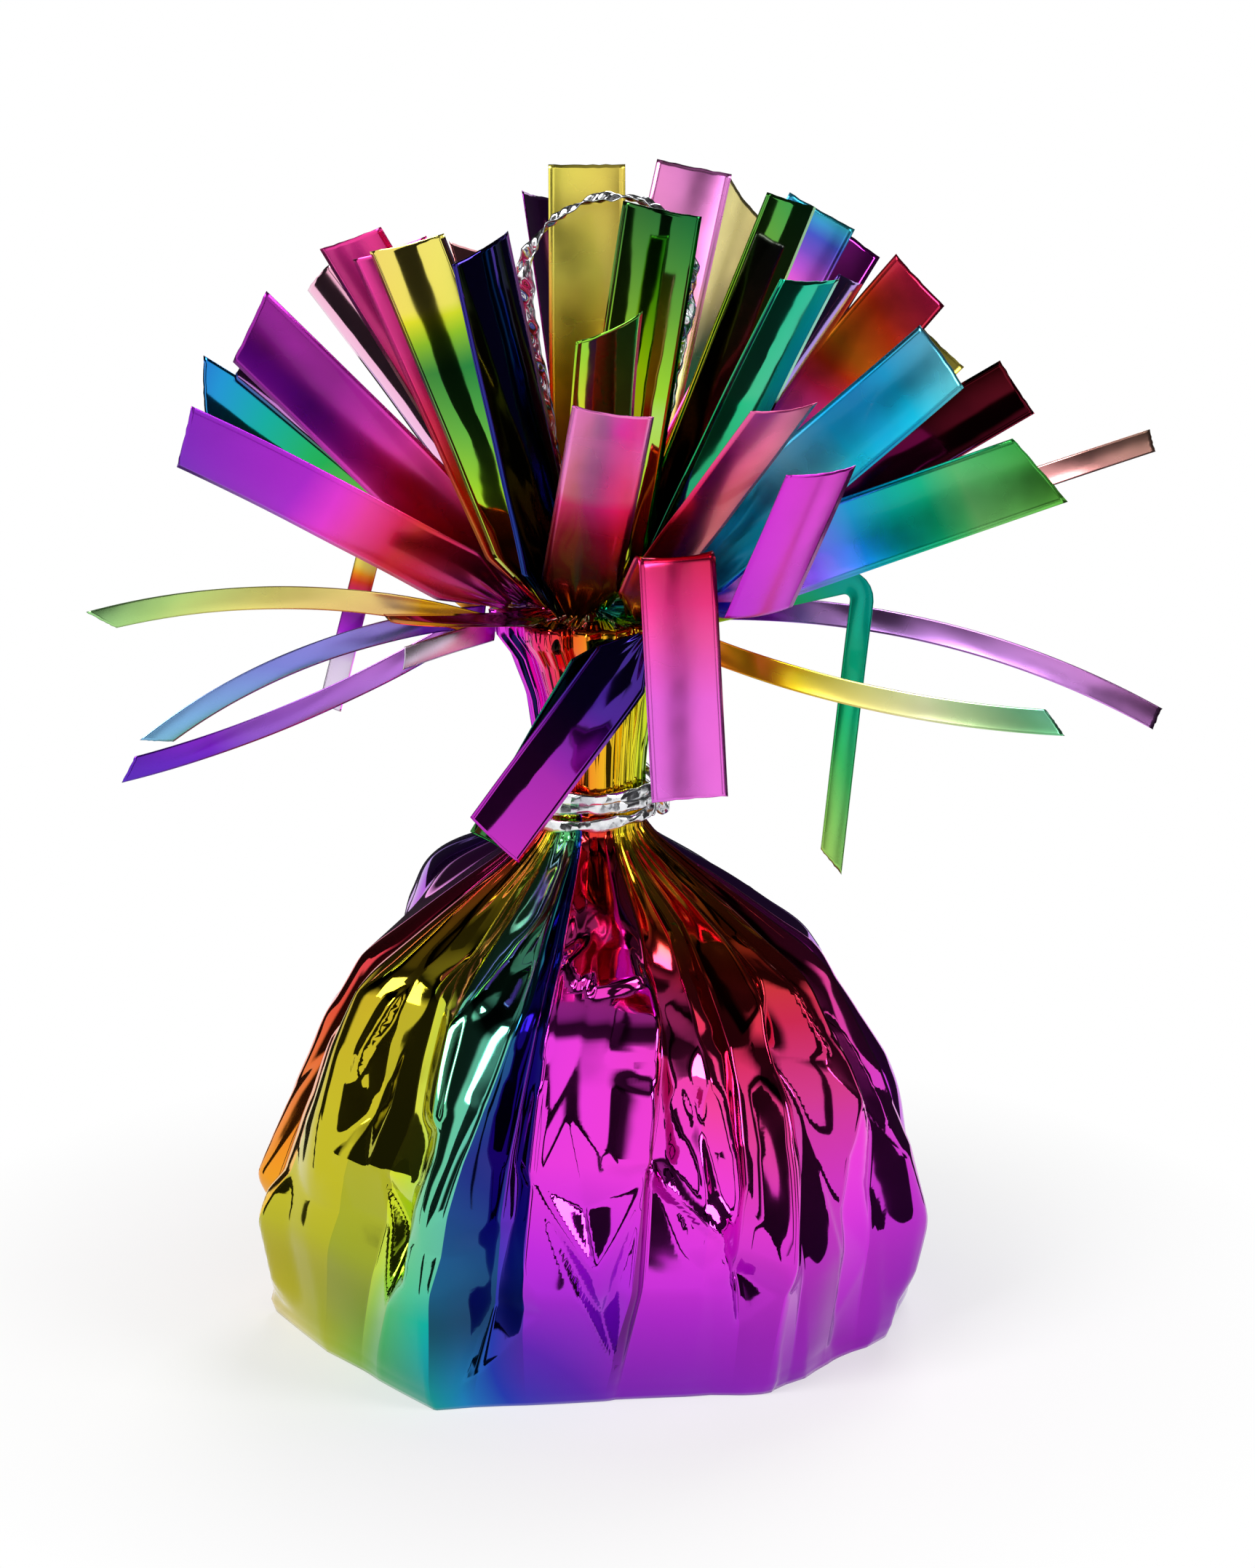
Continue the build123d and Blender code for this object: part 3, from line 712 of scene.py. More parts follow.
    def crease_lift(self, azimuth: Array, share: Array) -> Array:
        """How far creases lift the film.

        On the unrolled side, a ridge lifts by 1 minus the distance to its line over its reach, slightly
        rounded at the top; a lap slopes off gently on one side of its line and steeply on the other, and
        fades out at both ends. Where creases meet, the highest ridge and the deepest valley count.

        Args:
            azimuth: Grid of azimuths in degrees.
            share: Grid of heights as shares of the body.

        Returns:
            Grid of lifts in millimetres.
        """
        high, low = np.zeros_like(azimuth), np.zeros_like(azimuth)
        for crease in self.creases + self.back_creases():
            middle = 0.5 * (crease.height + crease.far_height)
            start = crease.azimuth, crease.height
            side, up, per_degree = self.unrolled(azimuth, share, start, middle)
            run = (crease.far_azimuth - crease.azimuth) * per_degree
            rise = (crease.far_height - crease.height) * self.slope_length
            length = np.hypot(run, rise)
            along = (side * run + up * rise) / length**2
            if crease.fold is Fold.RIDGE:
                held = np.clip(along, 0.0, 1.0)
                far = np.hypot(side - held * run, up - held * rise) / (self.crease_spread * crease.reach)
                profile = 1.0 - np.hypot(far, self.crease_rounding) + self.crease_rounding
                profile = np.clip(profile, 0.0, 1.0)
            else:
                far = (side * rise - up * run) / length / crease.reach
                slope = np.where(far > 0.0, -1.0, self.lap_steepness)
                ends = smooth(np.minimum(along, 1.0 - along), 0.0, self.lap_fade)
                profile = np.clip(1.0 + slope * far, 0.0, 1.0) * ends
            high = np.maximum(high, crease.lift * profile)
            low = np.minimum(low, crease.lift * profile)
        return (high + low) * self.crease_depth

    def dent_lift(self, azimuth: Array, share: Array) -> Array:
        """How far dents sink the film: nothing at the rim, the depth at the apex, flat facets between.

        On the unrolled side, a place is written as a sum of the two ways from the apex to the corners of
        its facet. Their shares add up to 1 at the rim and to 0 at the apex.

        Args:
            azimuth: Grid of azimuths in degrees.
            share: Grid of heights as shares of the body.

        Returns:
            Grid of lifts in millimetres, none above 0.
        """
        deepest = np.zeros_like(azimuth)
        for dent in self.dents:
            side, up, per_degree = self.unrolled(azimuth, share, dent.apex, dent.apex[1])
            rim = (np.array(dent.corners) - dent.apex) * (per_degree, self.slope_length)
            sunk = np.zeros_like(azimuth)
            for near, far in zip(rim, np.roll(rim, -1, axis=0)):
                area = near[0] * far[1] - near[1] * far[0]
                first = (side * far[1] - up * far[0]) / area
                second = (near[0] * up - near[1] * side) / area
                inside = (first >= 0.0) & (second >= 0.0)
                sunk = np.where(inside, np.clip(1.0 - first - second, 0.0, 1.0), sunk)
            deepest = np.maximum(deepest, dent.depth * sunk)
        return -deepest

    def swells(self, azimuth: Array, share: Array) -> Array:
        """Slow slanted waves in the film, stronger in patches, and the soft lobes."""
        chance = np.random.default_rng(self.seed + 3)
        turn = np.radians(azimuth)
        patch_rounds, patch_rise, patch_size = self.wave_patch
        total = np.zeros_like(azimuth)
        for rounds, rise, size in self.waves:
            phase, patch_phase = chance.uniform(0.0, PHASE, 2)
            patch = np.sin(patch_rounds * turn + patch_rise * share + patch_phase)
            wave = size * np.sin(rounds * turn + rise * share + phase)
            total += wave * (1.0 - patch_size + patch_size * patch)
        for middle, width, level, spread, size in self.lobes:
            away = wrapped(azimuth - middle, 360.0)
            total += size * np.exp(-((away / width) ** 2) - ((share - level) / spread) ** 2)
        return total

    def cornered(self, azimuth: Array) -> Array:
        """Reach of the straight edges between the foot's corners, as a share of the body radius.

        With the corners before and after a place, it is the product of their reaches times the sine of the
        angle between them, over each reach times the sine of the place's angle from its corner, added up.
        """
        turns, reaches = np.array(self.corners, dtype=float).T
        starts = np.append(turns - turns[0], 360.0)
        turn = (azimuth - turns[0]) % 360.0
        before = np.searchsorted(starts, turn, side="right") - 1
        near, far = reaches[before], np.roll(reaches, -1)[before]
        past, ahead = np.radians(turn - starts[before]), np.radians(starts[before + 1] - turn)
        return near * far * np.sin(past + ahead) / (near * np.sin(past) + far * np.sin(ahead))

    def side(self, share: Array) -> tuple[Array, Array, Array]:
        """Radius, azimuth and height of the body from the foot edge to the waist.

        The smoothed level table gives the radius, drawn towards the straight edges of the foot;
        fold lines, creases, dents, slow waves and small gathers near the waist are added to it.

        Args:
            share: Heights as shares of the body.

        Returns:
            Grids of radius, azimuth and height.
        """
        fine = np.linspace(0.0, 1.0, self.ease_rows)
        radius_line = np.interp(fine, self.levels, self.radii)
        ease, margin = np.ones(self.ease_window) / self.ease_window, self.ease_window // 2
        radius_line[margin:-margin] = np.convolve(radius_line, ease, mode="valid")
        azimuth = self.azimuths(share)
        share = share[:, None] * np.ones_like(azimuth)
        drawn = 1.0 + np.interp(share, self.levels, self.corner_shares) * (self.cornered(azimuth) - 1.0)
        radius = np.interp(share, fine, radius_line) * self.body_radius * drawn
        slim = np.clip(radius / (self.slim_share * self.body_radius), self.slim_least, 1.0)
        depth = np.interp(share, self.levels, self.pleat_depths)
        gathers = self.gathers() * smooth(share, *self.gather_span)
        radius = radius + self.pleat_lift() * depth + self.gather_size * gathers * slim
        radius = radius + self.crease_lift(azimuth, share) * slim + self.dent_lift(azimuth, share)
        radius = radius + self.swells(azimuth, share) * smooth(share, *self.wave_span)
        return radius, azimuth, share * self.body_height

    def neck(self, share: Array) -> tuple[Array, Array]:
        """Radius and height from the waist to the collar's rim: a flare gathered along the fold lines."""
        band = self.tie_band / (self.collar_height - self.body_height)
        rise = np.clip((share - band) / (1.0 - band), 0.0, 1.0)
        flare = np.interp(rise, self.neck_levels, self.neck_flares)
        radius = self.neck_radius + flare * (self.collar_radius - self.neck_radius) - self.neck_inset
        gathers = self.neck_pleats * self.pleat_lift() + self.neck_gathers * self.gathers()
        full = self.neck_least + (1.0 - self.neck_least) * smooth(rise, *self.neck_span)
        radius = radius[:, None] + full[:, None] * gathers
        height = self.body_height + share * (self.collar_height - self.body_height)
        return radius, height[:, None] * np.ones_like(radius)

    def grid(self) -> tuple[Array, Array, Array]:
        """Places of the whole wrap and the dye at both ends of each step round, row by row.

        The rows are the foot, the side, the neck and the top of the collar, each drawn from its own radius
        and height.
        """
        inward = np.linspace(0.0, 1.0, self.end_rows)[:-1]
        upward = np.linspace(0.0, 1.0, self.side_rows)
        flared = np.linspace(0.0, 1.0, self.neck_rows)[1:]
        closing = np.linspace(1.0, 0.0, self.end_rows)[1:]
        side_radius, side_azimuth, side_height = self.side(upward)
        neck_radius, neck_height = self.neck(flared)
        waist = self.neck(np.zeros(1))[0]
        side_radius += (waist - side_radius[-1:]) * smooth(upward, *self.waist_span)[:, None]
        bulge, sink = np.sin(np.pi * inward)[:, None], np.sin(np.pi * closing)[:, None]
        ripples = 1.0 + zigzag(side_azimuth[:1] * self.foot_ripples / 360.0)
        foot_height = self.foot_ripple * ripples * bulge
        top_height = self.collar_height + (self.top_pleats * self.pleat_lift() - self.top_sink) * sink
        foot_azimuth = np.repeat(side_azimuth[:1], len(inward), axis=0)
        neck_azimuth = np.repeat(side_azimuth[-1:], len(flared) + len(closing), axis=0)
        foot_radius, top_radius = side_radius[:1] * inward[:, None], neck_radius[-1:] * closing[:, None]
        radius = np.concatenate([foot_radius, side_radius, neck_radius, top_radius])
        azimuth = np.concatenate([foot_azimuth, side_azimuth, neck_azimuth])
        height = np.concatenate([foot_height, side_height, neck_height, top_height])
        _, across, step = self.columns()
        inks = [self.ink(upward, flared, inward, closing, place) for place in (across, across + step)]
        return around(radius, azimuth, height), *inks

    def ink(self, upward: Array, flared: Array, inward: Array, closing: Array, across: Array) -> Array:
        """Dye and tone of every row: the panels' own on the side, blended to the neck's and the foot's."""
        dye, tone = self.print_share(upward, across)
        waist = wrapped(self.azimuths(np.ones(1)), 360.0)
        gap = wrapped(np.interp(waist, self.neck_azimuths, self.neck_dye) - dye[-1:], 1.0)
        neck_dye = dye[-1:] + gap * smooth(flared, *self.neck_dye_span)[:, None]
        foot_dye = self.foot_dye + (dye[:1] - self.foot_dye) * inward[:, None]
        top_dye = neck_dye[-1:] + self.top_dye_run * (1.0 - closing[:, None])
        foot_tone = np.repeat(tone[:1], len(inward), axis=0)
        neck_tone = np.full((len(flared) + len(closing), len(across)), PLAIN)
        all_dye = np.concatenate([foot_dye, dye, neck_dye, top_dye])
        return np.stack([all_dye, np.concatenate([foot_tone, tone, neck_tone])], axis=-1)

    def build(self, foil: Material) -> None:
        """Lay the wrap's mesh and dress it."""
        piece = lay_grid("rainbow_wrap", *self.grid(), closed=True, poles=True)
        dress(piece, foil, "weight", "foil_wrap")


@dataclass(frozen=True)
class Film:
    """One strip or streamer of film: the way it points, where it is rooted, its bends and its looks."""

    azimuth: float
    elevation: float
    roll: float
    share: float
    root_azimuth: float
    dye: tuple
    ring: int = 0
    crease: float = 0.0
    crease_turn: float = 0.0
    sag: float = 0.0
    fold: float = 0.0
    fold_turn: float = 0.0
    tone: float = PLAIN
    tones: tuple = ()
    curl: float = 0.0
    slant: float = 0.0
    seat: Seat = Seat.COLLAR_TOP
    width: float = 8.8
    sheen: Sheen = Sheen.MIRROR

    def axes(self) -> tuple[Array, Array, Array]:
        """The way the film runs, the way its width lies and the way its face looks."""
        rise, roll = np.radians(self.elevation), np.radians(self.roll)
        along = around(np.cos(rise), self.azimuth, np.sin(rise))
        level = unit(np.cross((0.0, 0.0, 1.0), along))
        across = level * np.cos(roll) + np.cross(along, level) * np.sin(roll)
        return along, across, np.cross(along, across)

    def ink(self, step: Array) -> tuple[Array, Array]:
        """Dye and tone at shares of the length: read from even stops, root to tip, with painted shade at the
        root.
        """
        stops = [getattr(stop, "value", stop) for stop in self.dye]
        tones = self.tones or (ROOT_SHADE * self.tone, *[self.tone] * 4)
        return tuple(np.interp(step, np.linspace(0.0, 1.0, len(row)), row) for row in (stops, tones))


def strip(
    azimuth: float, elevation: float, roll: float, share: float, ring: int, dye: tuple, **looks: object
) -> Film:
    """A strip that stands on the collar, rooted the way it points unless an offset is given."""
    offset = looks.pop("offset", 0.0)
    return Film(azimuth, elevation, roll, share, azimuth + offset, dye, ring, **looks)


def satin(*place: object, **looks: object) -> Film:
    """A strip that shines softly."""
    return strip(*place, sheen=Sheen.SATIN, **looks)


def streamer(
    azimuth: float, elevation: float, share: float, root: float, dye: tuple, **looks: object
) -> Film:
    """A narrow streamer rooted on the outside of the collar."""
    kept = {"roll": 80.0, "width": 2.8, "seat": Seat.COLLAR_RIM, "sheen": Sheen.SATIN}
    return Film(azimuth, elevation, share=share, root_azimuth=root, dye=dye, **kept, **looks)


@dataclass
class Plume:
    """The strips and streamers that spring from the collar. Sizes are in millimetres."""

    collar_radius: float = 11.4
    collar_height: float = 86.0
    rings: tuple = (0.3, 0.46, 0.65, 0.85)
    length: float = 48.0
    film: float = 0.08
    seat_gap: float = 0.3
    solid_film: float = 0.2
    root_share: float = 0.18
    flare_share: float = 0.16
    crease_radius: float = 0.8
    fold_radius: float = 2.1
    curl_power: float = 1.6
    wave_turns: tuple = (0.4, 1.0)
    stations: int = 400
    run_past: float = 1.08
    ragged: float = 0.0012
    cup: float = 0.05
    cup_level: float = 0.35
    gather_share: float = 0.12
    pucker: float = 0.2
    pucker_folds: float = 1.5
    ripple: float = 0.1
    ripple_step: float = 2.3
    ripple_share: float = 0.35
    dye_across: float = 0.012
    seed: int = 100
    rows: int = 96
    columns: int = 13
    films: dict = field(default_factory=lambda: PLUME_FILMS)

    def root(self, film: Film, across: Array, facing: Array) -> Array:
        """Where a piece of film starts on the collar."""
        half = self.root_width(film) / 2
        if film.seat is Seat.COLLAR_TOP:
            stand = half * abs(across[2]) + self.solid_film / 2 * abs(facing[2])
            height = self.collar_height + self.seat_gap + stand
            return around(self.rings[film.ring] * self.collar_radius, film.root_azimuth, height)
        outward = around(1.0, film.root_azimuth, 0.0)
        stand = self.seat_gap + self.solid_film / 2 + half * abs(across @ outward)
        return around(self.collar_radius + stand, film.root_azimuth, self.collar_height - half)

    def root_width(self, film: Film) -> float:
        """Width of the film where it is rooted: gathered on a strip, full on a streamer."""
        return film.width if film.width < self.length / 10 else self.root_share * film.width

    def centre_line(self, film: Film, chance: np.random.Generator) -> tuple[float, Array, Array]:
        """Sum a film's centre line from its heading, which turns at a crease or a fold, sags and curls.

        Args:
            film: The piece.
            chance: Source of its own slow wave.

        Returns:
            The length along the line, stations along it, and at each one the place, the way the width
            lies, the way the face looks and half the width.
        """
        along, across, facing = film.axes()
        length = film.share * self.length
        crease, fold = abs(np.radians(film.crease_turn)), abs(np.radians(film.fold_turn))
        crease_back, fold_back = self.crease_radius * np.tan(crease / 2), self.fold_radius * np.tan(fold / 2)
        total = length - 2 * crease_back + self.crease_radius * crease
        total = total - 2 * fold_back + self.fold_radius * fold
        run = np.linspace(0.0, total * self.run_past, self.stations)
        share = run / total
        wave = chance.uniform(*self.wave_turns) * np.sin(2 * np.pi * (share + chance.uniform()))
        bend = film.curl * share**self.curl_power + wave
        if film.crease:
            start = film.crease * length - crease_back
            bend = bend + film.crease_turn * np.clip((run - start) / (self.crease_radius * crease), 0.0, 1.0)
        swing = film.sag * share
        if film.fold:
            start = film.fold * length - fold_back
            swing = swing + film.fold_turn * np.clip((run - start) / (self.fold_radius * fold), 0.0, 1.0)
        bend, swing = np.radians(bend)[:, None], np.radians(swing)[:, None]
        heading = np.cos(bend) * (along * np.cos(swing) + across * np.sin(swing)) + np.sin(bend) * facing
        breadth = across * np.cos(swing) - along * np.sin(swing)
        normal = np.cross(heading, breadth)
        centre = self.root(film, across, facing) + np.cumsum(heading, axis=0) * (run[1] - run[0])
        half = np.interp(share, (0.0, self.flare_share), (self.root_width(film) / 2, film.width / 2))
        return total, run, np.concatenate([centre, breadth, normal, half[:, None]], axis=1)

    def grid(self, film: Film, number: int) -> tuple[Array, Array]:
        """Places and dye of one piece of film.

        A slightly cupped cross profile, gathered at the root, is carried along the centre line; its tip is
        cut askew.

        Args:
            film: The piece.
            number: Its place in the plume, for its own small waves.

        Returns:
            Grids of places in millimetres and of dye and tone.
        """
        chance = np.random.default_rng(self.seed + number)
        length = film.share * self.length
        total, run, line = self.centre_line(film, chance)
        side = np.linspace(-1.0, 1.0, self.columns)[None, :]
        step = np.linspace(0.0, 1.0, self.rows)[:, None]
        ragged = chance.uniform(-self.ragged, self.ragged, (1, self.columns))
        place = total * step * (1.0 + (film.slant * side * film.width / length + ragged) * step**4)
        at = np.stack([np.interp(place, run, column) for column in line.T], axis=-1)
        middle, breadth, normal, half = at[..., :3], at[..., 3:6], at[..., 6:9], at[..., 9:]
        gather = np.exp(-place / (self.gather_share * length))
        slack = self.pucker * (film.width - self.root_width(film)) * self.root_share
        pucker = slack * gather * zigzag(self.pucker_folds * side + 0.25)
        ripple = self.ripple * np.sin(place / self.ripple_step + 2.0 * side + chance.uniform(0, PHASE))
        ripple = ripple * np.exp(-place / (self.ripple_share * length))
        cup = self.cup * film.width * (side**2 - self.cup_level) * (1.0 - gather)
        rise = cup + pucker + ripple
        points = middle + breadth * half * side[..., None] + normal * rise[..., None]
        dye, tone = film.ink(step)
        return points, np.stack(np.broadcast_arrays(dye + self.dye_across * side, tone), axis=-1)

    def build(self, foils: dict) -> None:
        """Lay every piece of film, give it thickness and dress it in its sheen."""
        for number, (name, film) in enumerate(self.films.items()):
            piece = lay_grid(f"film_{name}", *self.grid(film, number))
            thicken(piece, self.film)
            dress(piece, foils[film.sheen], name, name)


# Tones under a half paint shade and dark reflection into the film.
PLUME_FILMS = {
    "left_strip_1": satin(-74, 32, 57, 0.9, 3, (0.72, 0.87, 0.62, 0.57), offset=3,
        tones=(0.12, 0.4, 0.5, 0.42, 0.4), curl=-6, slant=0.2),
    "left_strip_2": strip(-105, 28, 71, 0.9, 3, (0.1, 0.14, 0.22, 0.4), offset=-22,
        tones=(0.1, 0.3, 0.42, 0.45), slant=0.2),
    "left_strip_3": strip(-101, 38, 37, 0.83, 3, (Dye.CRIMSON, 0.7, Dye.PURPLE), offset=-4, tone=0.36),
    "left_strip_4": satin(-84, 47, 77, 0.93, 2, (0.72, 0.84, 0.75, 0.68, 0.66), offset=-1,
        tones=(0.08, 0.2, 0.5, 0.24, 0.24), curl=-4, slant=0.2),
    "left_strip_5": strip(-111, 50, 51, 0.92, 2, (Dye.MAGENTA, Dye.PINK), offset=-27, tone=0.74),
    "left_strip_6": satin(-90, 65, 62, 0.99, 1, (0.88, 0.97, 0.87, 0.8, 0.78), crease=0.5, crease_turn=-8,
        tones=(0.16, 0.44, 0.46, 0.48, 0.5)),
    "left_strip_7": strip(-57, 67, 45, 0.99, 1, (0.1, 0.11, 0.14, 0.18, 0.2, 0.07, 0.06), offset=2,
        tones=(0.16, 0.4, 0.5, 0.36, 0.2, 0.56, 0.58)),
    "left_strip_8": satin(-63, 66, 55, 0.97, 1, (0.88, 0.97, 0.87, 0.8, 0.78), offset=-9,
        tones=(0.16, 0.44, 0.46, 0.48, 0.5)),
    "left_strip_9": strip(-42, 74, 88, 0.95, 2, (Dye.BLUE, Dye.INDIGO), offset=17, tone=0.16),
    "left_strip_10": strip(-155, 52, 30, 0.92, 1, (Dye.RED, 0.86), offset=4, tone=0.64),
    "top_strip_1": satin(-178, 75, 4, 1.02, 0, (0.86, 0.9, 0.97, 1.05, 1.06),
        tones=(0.2, 0.4, 0.5, 0.56, 0.56), curl=3),
    "top_strip_2": satin(147, 67, 28, 1.04, 1, (0.76, 0.78, 1.04, 0.74, 0.72), offset=19,
        tones=(0.3, 0.55, 0.74, 0.66, 0.64)),
    "top_strip_3": strip(-158, 68, 44, 0.95, 2, (Dye.INDIGO, 0.6, Dye.PURPLE), offset=-23, tone=0.3),
    "top_strip_4": satin(157, 45, 80, 1.13, 2, (1.02, 1.06), tone=0.66),
    "top_strip_5": strip(31, 75, -41, 1.02, 0, (0.08, 0.11, 0.14, 0.2), offset=-11,
        tones=(0.2, 0.46, 0.56, 0.3, 0.12), curl=4),
    "top_strip_6": strip(4, 61, 33, 0.9, 1, (0.89, 0.96, 1.08, 1.16), offset=-1,
        tones=(0.15, 0.32, 0.46, 0.5), curl=-4),
    "right_strip_1": strip(103, 68, -58, 1.01, 1, (0.98, 1.08, 1.2), offset=1, tone=0.3),
    "right_strip_2": satin(129, 55, 61, 1.03, 1, (0.88, 0.84, 0.8, 0.77, 0.76, 0.33),
        tones=(0.2, 0.36, 0.5, 0.56, 0.56, 0.52), curl=5),
    "right_strip_3": strip(136, 45, 62, 1.05, 2, (0.86, 0.8, 0.68), tone=0.44, curl=3),
    "right_strip_4": strip(56, 62, -17, 0.95, 2, (0.3, 0.24, 0.27), offset=3, tones=(0.1, 0.3, 0.52, 0.5)),
    "right_strip_5": satin(120, 42, 80, 1.01, 2, (Dye.VIOLET, 0.62, 0.7, 0.95, 0.84), offset=-5,
        tones=(0.2, 0.5, 0.5, 0.5, 0.48)),
    "right_strip_6": strip(98, 56, -34, 0.91, 1, (Dye.INDIGO, Dye.VIOLET), offset=-6, tone=0.56),
    "right_strip_7": satin(126, 31, 49, 0.96, 3, (Dye.GOLD, 0.07), offset=-8, tone=0.56),
    "right_strip_8": satin(78, 42, 70, 0.92, 2, (Dye.BLUE, 0.37, 0.345, 0.37, 0.34), offset=9,
        tones=(0.14, 0.46, 0.56, 0.46, 0.56), curl=4),
    "right_strip_9": strip(97, 30, 38, 0.95, 3, (0.8, 0.85), offset=9, tones=(0.06, 0.1, 0.3)),
    "right_strip_10": satin(90, 20, 79, 0.91, 3, (0.62, 0.6, 0.42, 0.3, 0.2, 0.19), offset=-1,
        tones=(0.4, 0.66, 0.56, 0.44, 0.56, 0.5), curl=4, slant=-0.2),
    # Its near-black lower part is a painted shadow under the plume.
    "front_strip_1": satin(10, 49, -13, 0.81, 2, (0.9, 0.88, 0.84, 0.77, 0.75, 0.745), offset=-24,
        tones=(0.01, 0.02, 0.2, 0.6, 0.62, 0.6)),
    "front_strip_2": satin(36, 46, -2, 0.84, 2, (0.9, 0.88, 0.83, 0.78), offset=2,
        tones=(0.05, 0.4, 0.5, 0.56)),
    "front_strip_3": strip(-72, 4, 5, 0.34, 3, (0.83, 0.88), offset=41, tones=(0.04, 0.1, 0.3), slant=-0.6),
    "front_strip_4": satin(30, 10, 0, 0.86, 3, (0.58, 0.64, 0.67, 0.69), offset=50, crease=0.45,
        crease_turn=46, tone=0.47),
    "hanging_strip_1": satin(17, 41, 0, 0.92, 3, (0.88, 0.87, 0.8, 0.7, 0.69), offset=20, crease=0.38,
        crease_turn=-120, tones=(0.1, 0.3, 0.5, 0.56, 0.58)),
    "back_strip_1": strip(-162, 26, 75, 1, 3, (Dye.GOLD, Dye.LIME)),
    "back_strip_2": strip(-174, 40, 64, 1, 2, (Dye.INDIGO, Dye.PURPLE), tone=0.36),
    "back_strip_3": strip(163, 24, 80, 1, 3, (Dye.PINK, Dye.RED)),
    "back_strip_4": strip(150, 30, 88, 0.95, 2, (Dye.GREEN, Dye.CYAN), offset=-1, tone=0.46),
    "back_strip_5": strip(-134, 14, 60, 0.96, 3, (Dye.VIOLET, Dye.BLUE)),
    "back_strip_6": strip(136, 14, 60, 0.96, 3, (Dye.MAGENTA, Dye.VIOLET)),
    "hanging_strip_2": Film(-54, -44, -87, 0.6, 31, (Dye.INDIGO, 0.52, 0.66, 0.68), seat=Seat.COLLAR_RIM,
        tones=(0.15, 0.22, 0.28, 0.34)),
    "hanging_strip_3": Film(-65, -56, -104, 0.55, 13, (Dye.TEAL, Dye.GREEN), seat=Seat.COLLAR_RIM,
        tone=0.15),
    "left_streamer_1": streamer(-77, 20, 0.92, -72, (0.97, 1.05, 1.17), sag=-33, tone=0.62, slant=0.5),
    "left_streamer_2": streamer(-70, 2, 0.85, -93, (0.58, 0.36), sag=-38, tone=0.62, slant=0.5),
    "left_streamer_3": streamer(-85, -33, 0.92, -95, (0.64, 0.53), sag=21, slant=-0.4,
        tones=(0.6, 0.6, 0.55, 0.4)),
    "left_streamer_4": streamer(-103, 37, 0.84, -102, (1.0, 1.0, 1.02, 1.04, 0.62, 0.6, 0.6), fold=0.39,
        fold_turn=-110, tones=(0.5, 0.55, 0.6, 0.56, 0.2, 0.9, 0.9)),
    "left_streamer_5": streamer(-45, -3, 0.29, -66, (0.64, 0.6), tone=0.9),
    "right_streamer_1": streamer(116, -5, 1.37, 111, (0.58, 0.66), sag=-27, tone=0.66),
    "right_streamer_2": streamer(63, -15, 0.96, 52, (0.9, 1.05, 1.1, 1.24), sag=19,
        tones=(0.4, 0.5, 0.76, 0.6), slant=-0.4),
    "right_streamer_3": streamer(104, 9, 1.11, 96, (0.1, 0.3, 0.24, 0.15), fold=0.38, fold_turn=-108,
        tones=(0.3, 0.36, 0.5, 0.56), slant=0.5),
    "right_streamer_4": streamer(117, 12, 1.35, 123, (0.66, 0.95), sag=-2, tone=0.72),
}


